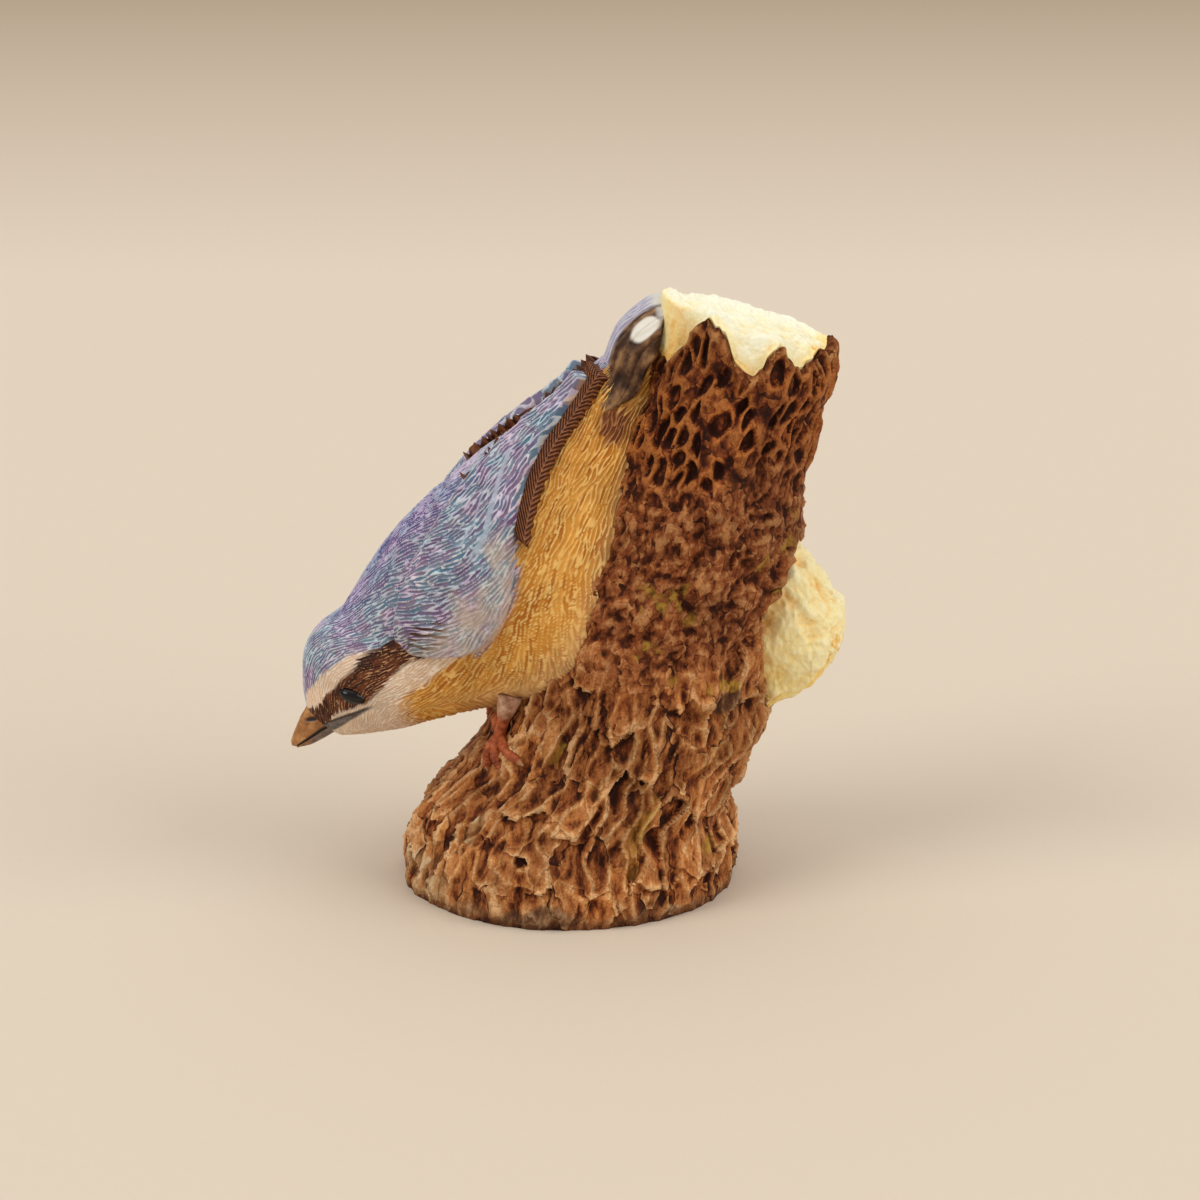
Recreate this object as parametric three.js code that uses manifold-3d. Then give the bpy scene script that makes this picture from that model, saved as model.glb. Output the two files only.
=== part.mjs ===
// Nuthatch figurine: a small bird clings head-down to the left flank of a leaning, broken tree stump.
// Millimetres, +Z up. The origin is the centre of the stump's flat underside.
// +X points to the side of the torn limb, and -Y to the side from which the bird's left flank shows.

import * as THREE from 'three';
import { mergeVertices } from 'three/addons/utils/BufferGeometryUtils.js';
import Module from 'manifold-3d';

const wasm = await Module();
wasm.setup();

// Driving dimensions

const seatGap = 0.3; // between two pieces that touch

// Stump: at each height, the left and right edge of its outline and half its depth
const stumpStations = [
  [0, -18.1, 18.3, 17.7],
  [5, -16.7, 18.0, 16.9],
  [9, -14.9, 17.5, 15.8],
  [13, -10.9, 18.7, 14.6],
  [17.5, -8.3, 20.8, 13.8],
  [30, -3.6, 21.9, 12.5],
  [40, 2.2, 24.4, 11.3],
  [50, 6.3, 26.1, 10.2],
  [57, 8.9, 28.2, 9.6],
  [63, 10.3, 27.6, 9.4],
];
// The torn upper edge of the bark: direction in degrees from +X, and height
const tornEdge = [
  [0, 59.6],
  [30, 58.8],
  [60, 59.4],
  [85, 60.0],
  [105, 61.4],
  [125, 61.6],
  [150, 62.4],
  [180, 60.4],
  [200, 58.8],
  [214, 59.2],
  [226, 62.0],
  [234, 63.0],
  [244, 62.8],
  [253, 62.0],
  [259, 59.8],
  [268, 58.6],
  [278, 58.6],
  [288, 60.2],
  [294, 60.2],
  [305, 58.2],
  [316, 58.8],
  [341, 59.4],
];
const barkThickness = 2.2;
const barkEdgeThickness = 1.0; // at the torn edge
const plateColumns = 14; // bark plates round the stump
const plateLength = 7.5; // of the bark plates, along the stump
const plateDepth = 1.0; // from the crest of a bark plate to the bottom of the crack beside it
const plateStep = 0.7; // how much higher one plate may stand than the next
const plateScatter = 0.75; // how unevenly the plates are set, as a share of their size
const plateLean = 30; // how far up the stump a row of plates leans over by one plate
const barkMean = 0.6; // share of a plate's depth that lies above the mean surface of the bark

// Bare wood inside the bark
const woodOverEdge = 1.8; // height at the middle of the broken top, above the mean height of the torn edge
const woodTopMiddle = 19; // its place along X
const woodTopFall = 0.3; // drop per millimetre towards +X
const woodTopRise = -0.04; // rise per millimetre towards +Y
const woodShoulder = 0.7; // how far the wood stands over the torn edge
const woodRoughness = 0.55;
const woodLump = 2.6; // size of the lumps on the broken wood
const woodCrumb = 1.1;

// Torn limb: at each distance along X, its lower and upper edge and half its depth
const limbStations = [
  [13, 20.8, 36.5, 4.6],
  [20.5, 18.6, 38.0, 5.3],
  [24, 20.3, 37.7, 5.9],
  [26.6, 21.8, 35.0, 5.6],
  [28.4, 24.6, 32.0, 4.4],
  [29.5, 27.0, 31.0, 2.4],
];
const limbRoughness = 0.35;
const limbLump = 2.2;
const limbTip = 0.35; // how far its middle stands out from the last row

// Bird: its own frame has x forward to the bill, y to its left and z to its back
const birdSeat = new THREE.Vector3(-10, 0, 36);
const birdPitch = THREE.MathUtils.degToRad(50); // head-down
// At each distance along x: height of the back, of the widest line and of the belly, half the width,
// and how square the lower half is, from 2 for an ellipse upwards
const bodyStations = [
  [-31, 1.9, 0.2, -2.8, 2.6, 2],
  [-25, 3.4, -0.4, -4.8, 3.8, 2.3],
  [-20, 3.7, -1.2, -7.0, 4.8, 2.6],
  [-14, 5.4, -2.4, -11.2, 6.8, 3],
  [-8, 6.8, -3.4, -15.2, 8.7, 3.6],
  [-1, 7.9, -4.0, -17.6, 9.9, 4.2],
  [4, 8.1, -4.0, -17.0, 9.6, 3.4],
  [8.5, 7.6, -3.2, -14.4, 8.8, 2.4],
  [13, 7.0, -2.2, -11.0, 7.4, 2],
  [17, 7.8, -0.9, -8.2, 6.6, 2],
  [20, 7.0, 0.0, -6.2, 5.6, 2],
  [22.5, 5.2, 0.5, -4.0, 4.2, 2],
  [24.4, 3.1, 0.6, -2.1, 2.7, 2],
];
const bellyFlare = 0.16; // how far the squarest part of the belly spreads towards the bark
const tuftLength = 2.4; // of the soft overlapping tufts of the belly and flanks
const tuftHeight = 0.22;
const tailRoot = -31; // where the undertail coverts end
const neck = 12.4; // border of body and head
const face = 24.4; // front of the head

// Bill, closed: at each distance along x, the ridge, the gape line, the keel and half the width
const billStations = [
  [21.0, 3.0, -1.6, -3.0, 1.7],
  [24.8, 2.9, 0.0, -1.3, 1.6],
  [27.4, 2.25, 0.65, -0.35, 1.1],
  [28.9, 1.7, 0.95, 0.6, 0.55],
];
const upperTip = new THREE.Vector3(29.25, 0, 1.3);
const lowerTip = new THREE.Vector3(28.85, 0, 0.75);

// Eyes
const eyeCentre = new THREE.Vector3(18.8, 5.35, 0.7);
const eyeRadii = new THREE.Vector3(0.8, 1.1, 1.5);

// Wings: at each distance along x, the inner and outer edge of the blue coverts, in degrees round the body from the middle of the back
const wingStations = [
  [-23.8, 16, 34],
  [-20, 15, 42],
  [-15, 17, 53],
  [-10, 21, 66],
  [-6, 24, 78],
  [-2, 29, 91],
  [2, 35, 98],
  [6, 43, 98],
  [9, 53, 89],
  [11.4, 66, 76],
];
const covertThickness = 0.7;
const featherRow = 3.4; // spacing of the covert rows along x
const featherRise = 0.25; // height of each row's free edge
const primaryRoot = -5; // front end of the flight feathers
const primaryTip = -24.9;
const primaryThickness = 0.6;
const primaryShow = 1.5; // how far they reach out from under the coverts, outer side
const primaryShowInner = 0.5; // and on the back
const barbPitch = 1.5; // of their serrated edge
const barbDepth = 0.35;

// Tail: an arched fan of feathers
const tailStart = -20.6;
const tailEnd = -35;
const tailHalfWidth = 4.9;
const tailHeight = 5.0; // from the lower edges to the ridge
// Height of the tail's ridge by share of its length: its root lies under the rump, and its tip droops
const tailRidge = [
  [0, 2.6],
  [0.3, 3.1],
  [0.58, 4.4],
  [0.86, 3.9],
  [1, 2.7],
];
const tailThickness = 0.8;
const tailCentreAngle = 27; // half of the arch that the central feathers cover, in degrees
const tailSideAngle = 86; // where the outer feathers end
const tailRootAngle = 50; // where they end at their root, under the rump
const tailSpread = 6; // how far from the root the outer feathers reach their full width
const tailSideShort = 5; // how much shorter the outermost feather is

// Feet: places on the bark, as direction in degrees from +X and height
const ankle = [208, 18.2];
const shankTop = [209.5, 22.6];
const shankLift = 1.6; // of the shank's upper end above the bark
const shankRadius = 0.65;
const toeRadius = 0.55;
const clawRadius = 0.16;
const toeLift = 0.75; // of the toes' middle line above the bark
const toeTips = [
  [208, 15.0],
  [216, 15.2],
  [223, 16.4],
];
const hindToeTip = [201, 20.6];
const clawLength = 1.1;

// Perch pin: a wire dowel between the bird's body and the stump
const pinDiameter = 2;
const pinMiddle = new THREE.Vector3(1.6, 0, 31);
const pinLength = 13;

// Curves and noise

// The values of a table at one place, by a smooth curve through its rows.
function sample(rows, at) {
  const last = rows.length - 1;
  let i = 0;
  while (i < last - 1 && at > rows[i + 1][0]) i += 1;
  const a = rows[i];
  const b = rows[i + 1];
  const before = rows[Math.max(i - 1, 0)];
  const after = rows[Math.min(i + 2, last)];
  const span = b[0] - a[0];
  const t = THREE.MathUtils.clamp((at - a[0]) / span, 0, 1);
  const h1 = t * t * (3 - 2 * t);
  const h2 = t * (1 - t) * (1 - t);
  const h3 = t * t * (t - 1);
  return a.slice(1).map((value, k) => {
    const slopeA = (b[k + 1] - before[k + 1]) / (b[0] - before[0]);
    const slopeB = (after[k + 1] - value) / (after[0] - a[0]);
    return value * (1 - h1) + b[k + 1] * h1 + span * (slopeA * h2 + slopeB * h3);
  });
}

// A repeatable number from 0 to 1 for each whole-numbered place.
function scatter(i, j, k) {
  const wave = Math.sin(i * 127.1 + j * 311.7 + k * 74.7) * 43758.5453;
  return wave - Math.floor(wave);
}

// Smooth noise from -1 to 1 with features of the given size.
function noise(point, size) {
  const p = point.clone().divideScalar(size);
  const base = p.clone().floor();
  const f = p.clone().sub(base);
  const s = f.clone().multiply(f).multiply(new THREE.Vector3(3, 3, 3).addScaledVector(f, -2));
  let sum = 0;
  for (const i of [0, 1]) {
    for (const j of [0, 1]) {
      for (const k of [0, 1]) {
        const weight = (i ? s.x : 1 - s.x) * (j ? s.y : 1 - s.y) * (k ? s.z : 1 - s.z);
        sum += weight * scatter(base.x + i, base.y + j, base.z + k);
      }
    }
  }
  return 2 * sum - 1;
}

// Evenly spaced values from one end to the other.
function steps(from, to, count) {
  return Array.from({ length: count + 1 }, (_, i) => from + ((to - from) * i) / count);
}

// Closed meshes

function meshOf(points, faces) {
  const geometry = new THREE.BufferGeometry().setFromPoints(points);
  geometry.setIndex(faces);
  const volume = faces.reduce((sum, _, i) => {
    if (i % 3) return sum;
    const [a, b, c] = [points[faces[i]], points[faces[i + 1]], points[faces[i + 2]]];
    return sum + a.dot(b.clone().cross(c));
  }, 0);
  if (volume < 0) {
    geometry.setIndex(faces.map((_, i) => faces[i - (i % 3) + 2 - (i % 3)]));
  }
  return geometry;
}

function addQuad(faces, a, b, c, d) {
  faces.push(a, b, c, a, c, d);
}

// A skin over rings of equally many points, closed at both ends round a middle point.
function loft(rings, startPoint, endPoint) {
  const count = rings[0].length;
  const points = rings.flat();
  const faces = [];
  for (let i = 0; i + 1 < rings.length; i += 1) {
    for (let j = 0; j < count; j += 1) {
      const k = (j + 1) % count;
      addQuad(faces, i * count + j, i * count + k, (i + 1) * count + k, (i + 1) * count + j);
    }
  }
  const ends = [
    [0, startPoint, 1],
    [rings.length - 1, endPoint, -1],
  ];
  for (const [row, given, side] of ends) {
    const middle = given ?? rings[row].reduce((sum, p) => sum.add(p), new THREE.Vector3()).divideScalar(count);
    const apex = points.push(middle) - 1;
    for (let j = 0; j < count; j += 1) {
      const a = row * count + j;
      const b = row * count + ((j + 1) % count);
      faces.push(...(side > 0 ? [apex, b, a] : [apex, a, b]));
    }
  }
  return meshOf(points, faces);
}

// A sleeve: rings whose last one joins the first.
function sleeve(rings) {
  const count = rings[0].length;
  const faces = [];
  rings.forEach((_, i) => {
    const next = (i + 1) % rings.length;
    for (let j = 0; j < count; j += 1) {
      const k = (j + 1) % count;
      addQuad(faces, i * count + j, i * count + k, next * count + k, next * count + j);
    }
  });
  return meshOf(rings.flat(), faces);
}

// A curved sheet between an outer and an inner grid of points.
function sheet(outer, inner) {
  const rows = outer.length;
  const count = outer[0].length;
  const points = [...outer.flat(), ...inner.flat()];
  const under = rows * count;
  const faces = [];
  for (let i = 0; i + 1 < rows; i += 1) {
    for (let j = 0; j + 1 < count; j += 1) {
      const a = i * count + j;
      addQuad(faces, a, a + 1, a + count + 1, a + count);
      addQuad(faces, under + a, under + a + count, under + a + count + 1, under + a + 1);
    }
    const left = i * count;
    const right = i * count + count - 1;
    addQuad(faces, left, left + count, under + left + count, under + left);
    addQuad(faces, right, under + right, under + right + count, right + count);
  }
  for (let j = 0; j + 1 < count; j += 1) {
    const far = (rows - 1) * count + j;
    addQuad(faces, j, under + j, under + j + 1, j + 1);
    addQuad(faces, far, far + 1, under + far + 1, under + far);
  }
  return meshOf(points, faces);
}

function solidOf(geometry) {
  const bare = geometry.clone();
  bare.deleteAttribute('normal');
  bare.deleteAttribute('uv');
  const merged = mergeVertices(bare, 1e-4);
  return new wasm.Manifold(
    new wasm.Mesh({
      numProp: 3,
      vertProperties: merged.attributes.position.array,
      triVerts: new Uint32Array(merged.index.array),
    }),
  );
}

function geometryOf(solid) {
  const mesh = solid.getMesh();
  const geometry = new THREE.BufferGeometry();
  geometry.setAttribute('position', new THREE.BufferAttribute(mesh.vertProperties, 3));
  geometry.setIndex(new THREE.BufferAttribute(mesh.triVerts, 1));
  return geometry;
}

// Stump

const stumpColumns = 56;
const stumpRows = 26;
const wallRows = 3; // of the smooth faces between bark and wood

// Height of the bark plates above the stump's mean surface. Each plate lies round its own middle,
// and a crack runs wherever the two nearest middles are equally far.
function barkRelief(angle, height) {
  const column = (plateColumns * angle) / (2 * Math.PI) + height / plateLean;
  const row = height / plateLength;
  let nearest = Infinity;
  let second = Infinity;
  let level = 0;
  for (const i of [-1, 0, 1].map((step) => Math.floor(column) + step)) {
    for (const j of [-1, 0, 1].map((step) => Math.floor(row) + step)) {
      const plate = ((i % plateColumns) + plateColumns) % plateColumns;
      const across = column - i - 0.5 - plateScatter * (scatter(plate, j, 1) - 0.5);
      const along = row - j - 0.5 - plateScatter * (scatter(plate, j, 2) - 0.5);
      const distance = Math.hypot(across, along);
      if (distance < nearest) level = scatter(plate, j, 3) - 0.5;
      second = Math.max(nearest, Math.min(second, distance));
      nearest = Math.min(nearest, distance);
    }
  }
  const crest = THREE.MathUtils.smoothstep((second - nearest) / (second + nearest), 0, 0.5);
  return plateDepth * (crest - barkMean) + plateStep * level * crest;
}

// A point of the stump in the given direction and height, moved outwards.
function stumpPoint(angle, height, outwards) {
  const [left, right, halfDepth] = sample(stumpStations, height);
  const middle = (left + right) / 2;
  const x = middle + ((right - left) / 2 + outwards) * Math.cos(angle);
  return new THREE.Vector3(x, (halfDepth + outwards) * Math.sin(angle), height);
}

function edgeHeight(angle) {
  const degrees = THREE.MathUtils.radToDeg(angle);
  const first = tornEdge[0];
  const last = tornEdge[tornEdge.length - 1];
  const rows = [[last[0] - 360, last[1]], ...tornEdge, [first[0] + 360, first[1]]];
  return sample(rows, degrees)[0];
}

function barkWall(height, edge) {
  const t = THREE.MathUtils.smoothstep(height, edge * 0.6, edge);
  return barkThickness + (barkEdgeThickness - barkThickness) * t;
}

const directions = steps(0, 2 * Math.PI, stumpColumns).slice(0, stumpColumns);

function barkRing(part, outwards) {
  return directions.map((angle) => {
    const edge = edgeHeight(angle);
    return stumpPoint(angle, part * edge, outwards + barkRelief(angle, part * edge));
  });
}

function barkInnerRing(part, inset) {
  return directions.map((angle) => {
    const edge = edgeHeight(angle);
    return stumpPoint(angle, part * edge, -barkMean * plateDepth - barkWall(part * edge, edge) - inset);
  });
}

// The bark sleeve: up its outside, over the torn edge and down its inside.
function barkSleeve() {
  const outside = steps(0, 1, stumpRows).map((part) => barkRing(part, 0));
  const inside = steps(1, 0, wallRows).map((part) => barkInnerRing(part, 0));
  return solidOf(sleeve([...outside, ...inside]));
}

const woodTop = woodOverEdge + tornEdge.reduce((sum, row) => sum + row[1], 0) / tornEdge.length;

function woodHeight(point) {
  const plane = woodTop - woodTopFall * (point.x - woodTopMiddle) + woodTopRise * point.y;
  return plane + woodRoughness * (noise(point, woodLump) + 0.4 * noise(point, woodCrumb));
}

// The wood: inside the bark up to the torn edge, then inwards over the broken top.
function woodCore() {
  const wall = steps(0, 1, wallRows).map((part) => barkInnerRing(part, seatGap));
  const shoulder = barkRing(1, -seatGap).map((p) => p.setZ(p.z + seatGap));
  const [left, right] = sample(stumpStations, woodTop);
  const middle = new THREE.Vector3((left + right) / 2, 0, 0);
  const top = steps(0.93, 0.18, 4).map((share) =>
    shoulder.map((p) => {
      const q = new THREE.Vector3().lerpVectors(middle, p.clone().setZ(0), share);
      const rim = THREE.MathUtils.smoothstep(share, 0.6, 1);
      const low = Math.min(0, p.z + woodShoulder - woodHeight(q));
      q.z = woodHeight(q) + low * rim ** 2;
      return q;
    }),
  );
  const crown = middle.clone();
  crown.z = woodHeight(middle);
  return solidOf(loft([...wall, shoulder, ...top], new THREE.Vector3(), crown));
}

// All of the stump that the bird must clear, grown by a gap.
function stumpEnvelope(gap) {
  const rings = steps(0, 1, stumpRows).map((part) => barkRing(part, gap));
  const cap = rings[rings.length - 1];
  const [left, right] = sample(stumpStations, woodTop);
  const middle = new THREE.Vector3((left + right) / 2, 0, 0);
  const top = steps(0.9, 0.2, 3).map((share) =>
    cap.map((p) => {
      const q = new THREE.Vector3().lerpVectors(middle, p.clone().setZ(0), share);
      q.z = Math.max(woodHeight(q) + gap, p.z + gap);
      return q;
    }),
  );
  const crown = middle.clone();
  crown.z = woodHeight(middle) + gap;
  return solidOf(loft([...rings, ...top], new THREE.Vector3(0, 0, 0), crown));
}

// The torn limb: a short stub with a ragged, rounded end.
function limbBody(grow) {
  const last = limbStations[limbStations.length - 1];
  const rings = steps(limbStations[0][0], last[0], 9).map((x) => {
    const [low, high, halfDepth] = sample(limbStations, x);
    return steps(0, 2 * Math.PI, 28)
      .slice(0, 28)
      .map((angle) => {
        const middle = (low + high) / 2;
        const p = new THREE.Vector3(x, halfDepth * Math.cos(angle), middle + ((high - low) / 2) * Math.sin(angle));
        const size = 1 + (grow + limbRoughness * noise(p, limbLump)) / halfDepth;
        p.y *= size;
        p.z = middle + (p.z - middle) * (1 + (size - 1) * 0.7);
        return p;
      });
  });
  const tip = new THREE.Vector3(last[0] + limbTip + grow, 0, (last[1] + last[2]) / 2);
  return solidOf(loft(rings, null, tip));
}

// Bird's body and head

// A point of the body's surface: distance along x, angle from the middle of the back, and lift above it.
function bodyPoint(x, angle, lift) {
  const [back, widest, belly, halfWidth, squareness] = sample(bodyStations, x);
  const cosine = Math.cos(angle);
  const sine = Math.sin(angle);
  const height = cosine > 0 ? back - widest : widest - belly;
  const normal = new THREE.Vector2(height * sine, halfWidth * cosine).normalize();
  const power = cosine > 0 ? 2 : squareness;
  const round = (Math.abs(cosine) ** power + Math.abs(sine) ** power) ** (-1 / power);
  const flare = 1 + bellyFlare * (power / 2 - 1) * round * Math.abs(cosine);
  const y = halfWidth * sine * round * flare;
  return new THREE.Vector3(x, y + lift * normal.x, widest + height * cosine * round + lift * normal.y);
}

// Soft overlapping tufts of the belly and flanks.
function tuftRelief(x, angle) {
  const row = x / tuftLength;
  const across = Math.cos(9 * angle + (Math.floor(row) % 2) * Math.PI);
  return tuftHeight * (across * 0.5 + 0.5) * (row - Math.floor(row));
}

function bodyLoft(from, to, rows, columns, relief) {
  const rings = steps(from, to, rows).map((x) =>
    steps(0, 2 * Math.PI, columns)
      .slice(0, columns)
      .map((angle) => bodyPoint(x, angle, relief ? -tuftRelief(x, angle) : 0)),
  );
  return solidOf(loft(rings, null, null));
}

// Bill: each mandible is a half-round wedge on the gape line.
function mandible(upper, grow) {
  const first = billStations[0][0];
  const last = billStations[billStations.length - 1][0];
  const rings = steps(first, last, 7).map((x) => {
    const [ridge, gape, keel, halfWidth] = sample(billStations, x);
    const flat = upper ? gape + seatGap / 2 - grow : gape - seatGap / 2 + grow;
    const height = upper ? ridge + grow - flat : keel - grow - flat;
    return steps(0, Math.PI, 8).map(
      (angle) => new THREE.Vector3(x, (halfWidth + grow) * Math.cos(angle), flat + height * Math.sin(angle)),
    );
  });
  const [ridge, gape, keel] = sample(billStations, first);
  const root = new THREE.Vector3(first - grow, 0, ((upper ? ridge : keel) + gape) / 2);
  const tip = (upper ? upperTip : lowerTip).clone();
  tip.x += grow;
  return solidOf(loft(rings, root, tip));
}

function eyeball(side, grow) {
  const ball = new THREE.SphereGeometry(1, 12, 7);
  ball.scale(eyeRadii.x + grow, eyeRadii.y + grow, eyeRadii.z + grow);
  ball.translate(eyeCentre.x, side * eyeCentre.y, eyeCentre.z);
  return solidOf(ball);
}

// Wings

function wingEdges(x) {
  return sample(wingStations, x).map(THREE.MathUtils.degToRad);
}

// Each row of coverts rises towards its free edge and drops to the next.
function covertRelief(x, across) {
  const row = (x + 0.9 * Math.cos(across * 3 * Math.PI)) / featherRow;
  return featherRise * (1 - (row - Math.floor(row)));
}

function wingCoverts(side) {
  const base = 2 * seatGap + primaryThickness;
  const first = wingStations[0][0];
  const last = wingStations[wingStations.length - 1][0];
  const grid = (lift, relief) =>
    steps(first, last, 22).map((x) =>
      steps(0, 1, 6).map((across) => {
        const [inner, outer] = wingEdges(x);
        const angle = side * (inner + (outer - inner) * across);
        return bodyPoint(x, angle, lift + (relief ? covertRelief(x, across) : 0));
      }),
    );
  return solidOf(sheet(grid(base + covertThickness, true), grid(base, false)));
}

// The flight feathers lie flat on the body, under the coverts, with a serrated outer edge.
function primaries(side) {
  const rows = Math.round(Math.abs(primaryTip - primaryRoot) / (barbPitch / 2));
  const grid = (lift) =>
    steps(primaryTip, primaryRoot, rows).map((x, i) => {
      const [inner, outer] = wingEdges(x);
      const halfWidth = sample(bodyStations, x)[3];
      const barb = i % 2 ? barbDepth : 0;
      const start = inner - (primaryShowInner + barb * 0.5) / halfWidth;
      const end = outer + (primaryShow - barb) / halfWidth;
      return steps(0, 1, 3).map((across) => bodyPoint(x, side * (start + (end - start) * across), lift));
    });
  return solidOf(sheet(grid(seatGap + primaryThickness), grid(seatGap)));
}

// Tail

// A point of the tail's arch: distance along x, angle from the ridge, and depth below its top.
function tailPoint(x, angle, depth) {
  const ridge = sample(tailRidge, (x - tailStart) / (tailEnd - tailStart))[0];
  const y = (tailHalfWidth - depth) * Math.sin(angle);
  return new THREE.Vector3(x, y, ridge - tailHeight + (tailHeight - depth) * Math.cos(angle));
}

function tailFeathers(fromDegrees, toDegrees, columns, grow = 0) {
  const reach = THREE.MathUtils.radToDeg(grow / tailHalfWidth);
  const start = tailStart + grow;
  const grid = (depth) =>
    steps(0, 1, 9).map((part) =>
      steps(fromDegrees - reach, toDegrees + reach, columns).map((degrees) => {
        const end = tailEnd - grow + tailSideShort * (Math.abs(degrees) / tailSideAngle) ** 2;
        const x = start + (end - start) * part;
        const spread = THREE.MathUtils.smoothstep(tailStart - x, 0, tailSpread);
        const narrow = (1 - spread) * (1 - tailRootAngle / tailSideAngle);
        const past = Math.max(Math.abs(degrees) - tailCentreAngle, 0) * Math.sign(degrees);
        const angle = THREE.MathUtils.degToRad(degrees - past * narrow);
        return tailPoint(x, angle, depth);
      }),
    );
  return solidOf(sheet(grid(-grow), grid(tailThickness + grow)));
}

// Feet

function tube(points, radii, sides) {
  const curve = new THREE.CatmullRomCurve3(points);
  const rows = (points.length - 1) * 2;
  const frames = curve.computeFrenetFrames(rows, false);
  const rings = steps(0, 1, rows).map((t, i) => {
    const middle = curve.getPoint(t);
    const place = t * (radii.length - 1);
    const k = Math.min(Math.floor(place), radii.length - 2);
    const radius = radii[k] + (radii[k + 1] - radii[k]) * (place - k);
    return steps(0, 2 * Math.PI, sides)
      .slice(0, sides)
      .map((angle) =>
        middle
          .clone()
          .addScaledVector(frames.normals[i], radius * Math.cos(angle))
          .addScaledVector(frames.binormals[i], radius * Math.sin(angle)),
      );
  });
  return solidOf(loft(rings, null, null));
}

function barkPlace([degrees, height], lift) {
  return stumpPoint(THREE.MathUtils.degToRad(degrees), height, lift);
}

function mirrored([degrees, height], side) {
  return [side > 0 ? degrees : 360 - degrees, height];
}

// Shank, three front toes and a hind toe, each toe ending in a claw that bites the bark.
function foot(side, grow) {
  const joint = barkPlace(mirrored(ankle, side), toeLift + 0.2);
  const top = barkPlace(mirrored(shankTop, side), shankLift);
  let solid = tube([top, top.clone().lerp(joint, 0.5), joint], [shankRadius + grow, shankRadius + grow], 7);
  for (const tip of [...toeTips, hindToeTip]) {
    const end = barkPlace(mirrored(tip, side), toeLift - 0.1);
    const knuckle = joint.clone().lerp(end, 0.55).add(barkPlace(mirrored(tip, side), toeLift + 0.5)).sub(end);
    const bite = end.clone().sub(joint).setLength(clawLength).add(barkPlace(mirrored(tip, side), toeLift - 0.5));
    const radii = [toeRadius + grow, toeRadius + grow, toeRadius * 0.9 + grow, clawRadius + grow];
    solid = solid.add(tube([joint, knuckle, end, bite], radii, 5));
  }
  return solid;
}

// Perch pin, square to the bird's belly

function perchPin(grow) {
  const radius = pinDiameter / 2 + grow;
  const pin = new THREE.CylinderGeometry(radius, radius, pinLength + 2 * grow, 16);
  pin.rotateZ(Math.PI / 2);
  pin.translate(pinMiddle.x, pinMiddle.y, pinMiddle.z);
  return solidOf(pin);
}

// Assembly

const figurine = new THREE.Group();
const heading = new THREE.Group();
const bird = new THREE.Group();
heading.position.copy(birdSeat);
heading.rotation.z = Math.PI;
bird.rotation.y = birdPitch;
heading.add(bird);
figurine.add(heading);
figurine.updateMatrixWorld(true);

function piece(parent, name, solid, color, roughness, metalness = 0) {
  const material = new THREE.MeshStandardMaterial({ color, roughness, metalness });
  const mesh = new THREE.Mesh(geometryOf(solid), material);
  mesh.name = name;
  parent.add(mesh);
}

// The same solid, measured in the bird's own frame.
function forBird(solid) {
  const toBird = bird.matrixWorld.clone().invert();
  return solidOf(geometryOf(solid).applyMatrix4(toBird));
}

const limb = limbBody(0);
const wood = woodCore();
const limbClearance = limbBody(seatGap);
const pinHole = perchPin(seatGap);
const clearStump = forBird(stumpEnvelope(seatGap));
const clearPin = forBird(pinHole);

piece(figurine, 'stump_bark', barkSleeve().subtract(limbClearance).subtract(pinHole), 0x6b3a1c, 0.75);
piece(figurine, 'stump_wood', wood.subtract(limbClearance).subtract(pinHole), 0xefe3b4, 0.7);
piece(figurine, 'torn_limb', limb, 0xe8cf8e, 0.7);
piece(figurine, 'perch_pin', perchPin(0), 0xb8b8b4, 0.3, 1);

let torso = bodyLoft(tailRoot, neck - seatGap / 2, 24, 30, true).subtract(clearStump).subtract(clearPin);
let head = bodyLoft(neck + seatGap / 2, face, 8, 26, false);
for (const upper of [true, false]) head = head.subtract(mandible(upper, seatGap));
for (const side of [1, -1]) {
  const name = side > 0 ? 'left' : 'right';
  head = head.subtract(eyeball(side, seatGap));
  torso = torso.subtract(forBird(foot(side, seatGap)));
  const footSolid = foot(side, 0).subtract(stumpEnvelope(seatGap / 2));
  piece(figurine, `${name}_foot`, footSolid, 0xa8602c, 0.6);
  piece(bird, `${name}_eye`, eyeball(side, 0), 0x1c130f, 0.15);
  piece(bird, `${name}_wing`, wingCoverts(side).subtract(clearStump), 0x8d7e8c, 0.65);
  piece(bird, `${name}_primaries`, primaries(side).subtract(clearStump), 0x704025, 0.65);
  const [from, to] = side > 0 ? [tailCentreAngle, tailSideAngle] : [-tailSideAngle, -tailCentreAngle];
  const gapAngle = THREE.MathUtils.radToDeg(seatGap / tailHalfWidth) * side;
  const edges = side > 0 ? [from + gapAngle, to] : [from, to + gapAngle];
  torso = torso.subtract(tailFeathers(...edges, 7, seatGap));
  piece(bird, `${name}_tail_feathers`, tailFeathers(...edges, 7).subtract(clearStump), 0x4f3422, 0.65);
}
torso = torso.subtract(tailFeathers(-tailCentreAngle, tailCentreAngle, 6, seatGap));
piece(bird, 'tail_centre', tailFeathers(-tailCentreAngle, tailCentreAngle, 6).subtract(clearStump), 0xa294a8, 0.65);
piece(bird, 'bird_body', torso, 0xcd8e3e, 0.65);
piece(bird, 'bird_head', head, 0x8b8a91, 0.65);
piece(bird, 'upper_mandible', mandible(true, 0), 0xa27449, 0.5);
piece(bird, 'lower_mandible', mandible(false, 0), 0x8c6038, 0.5);

export default figurine;
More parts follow.
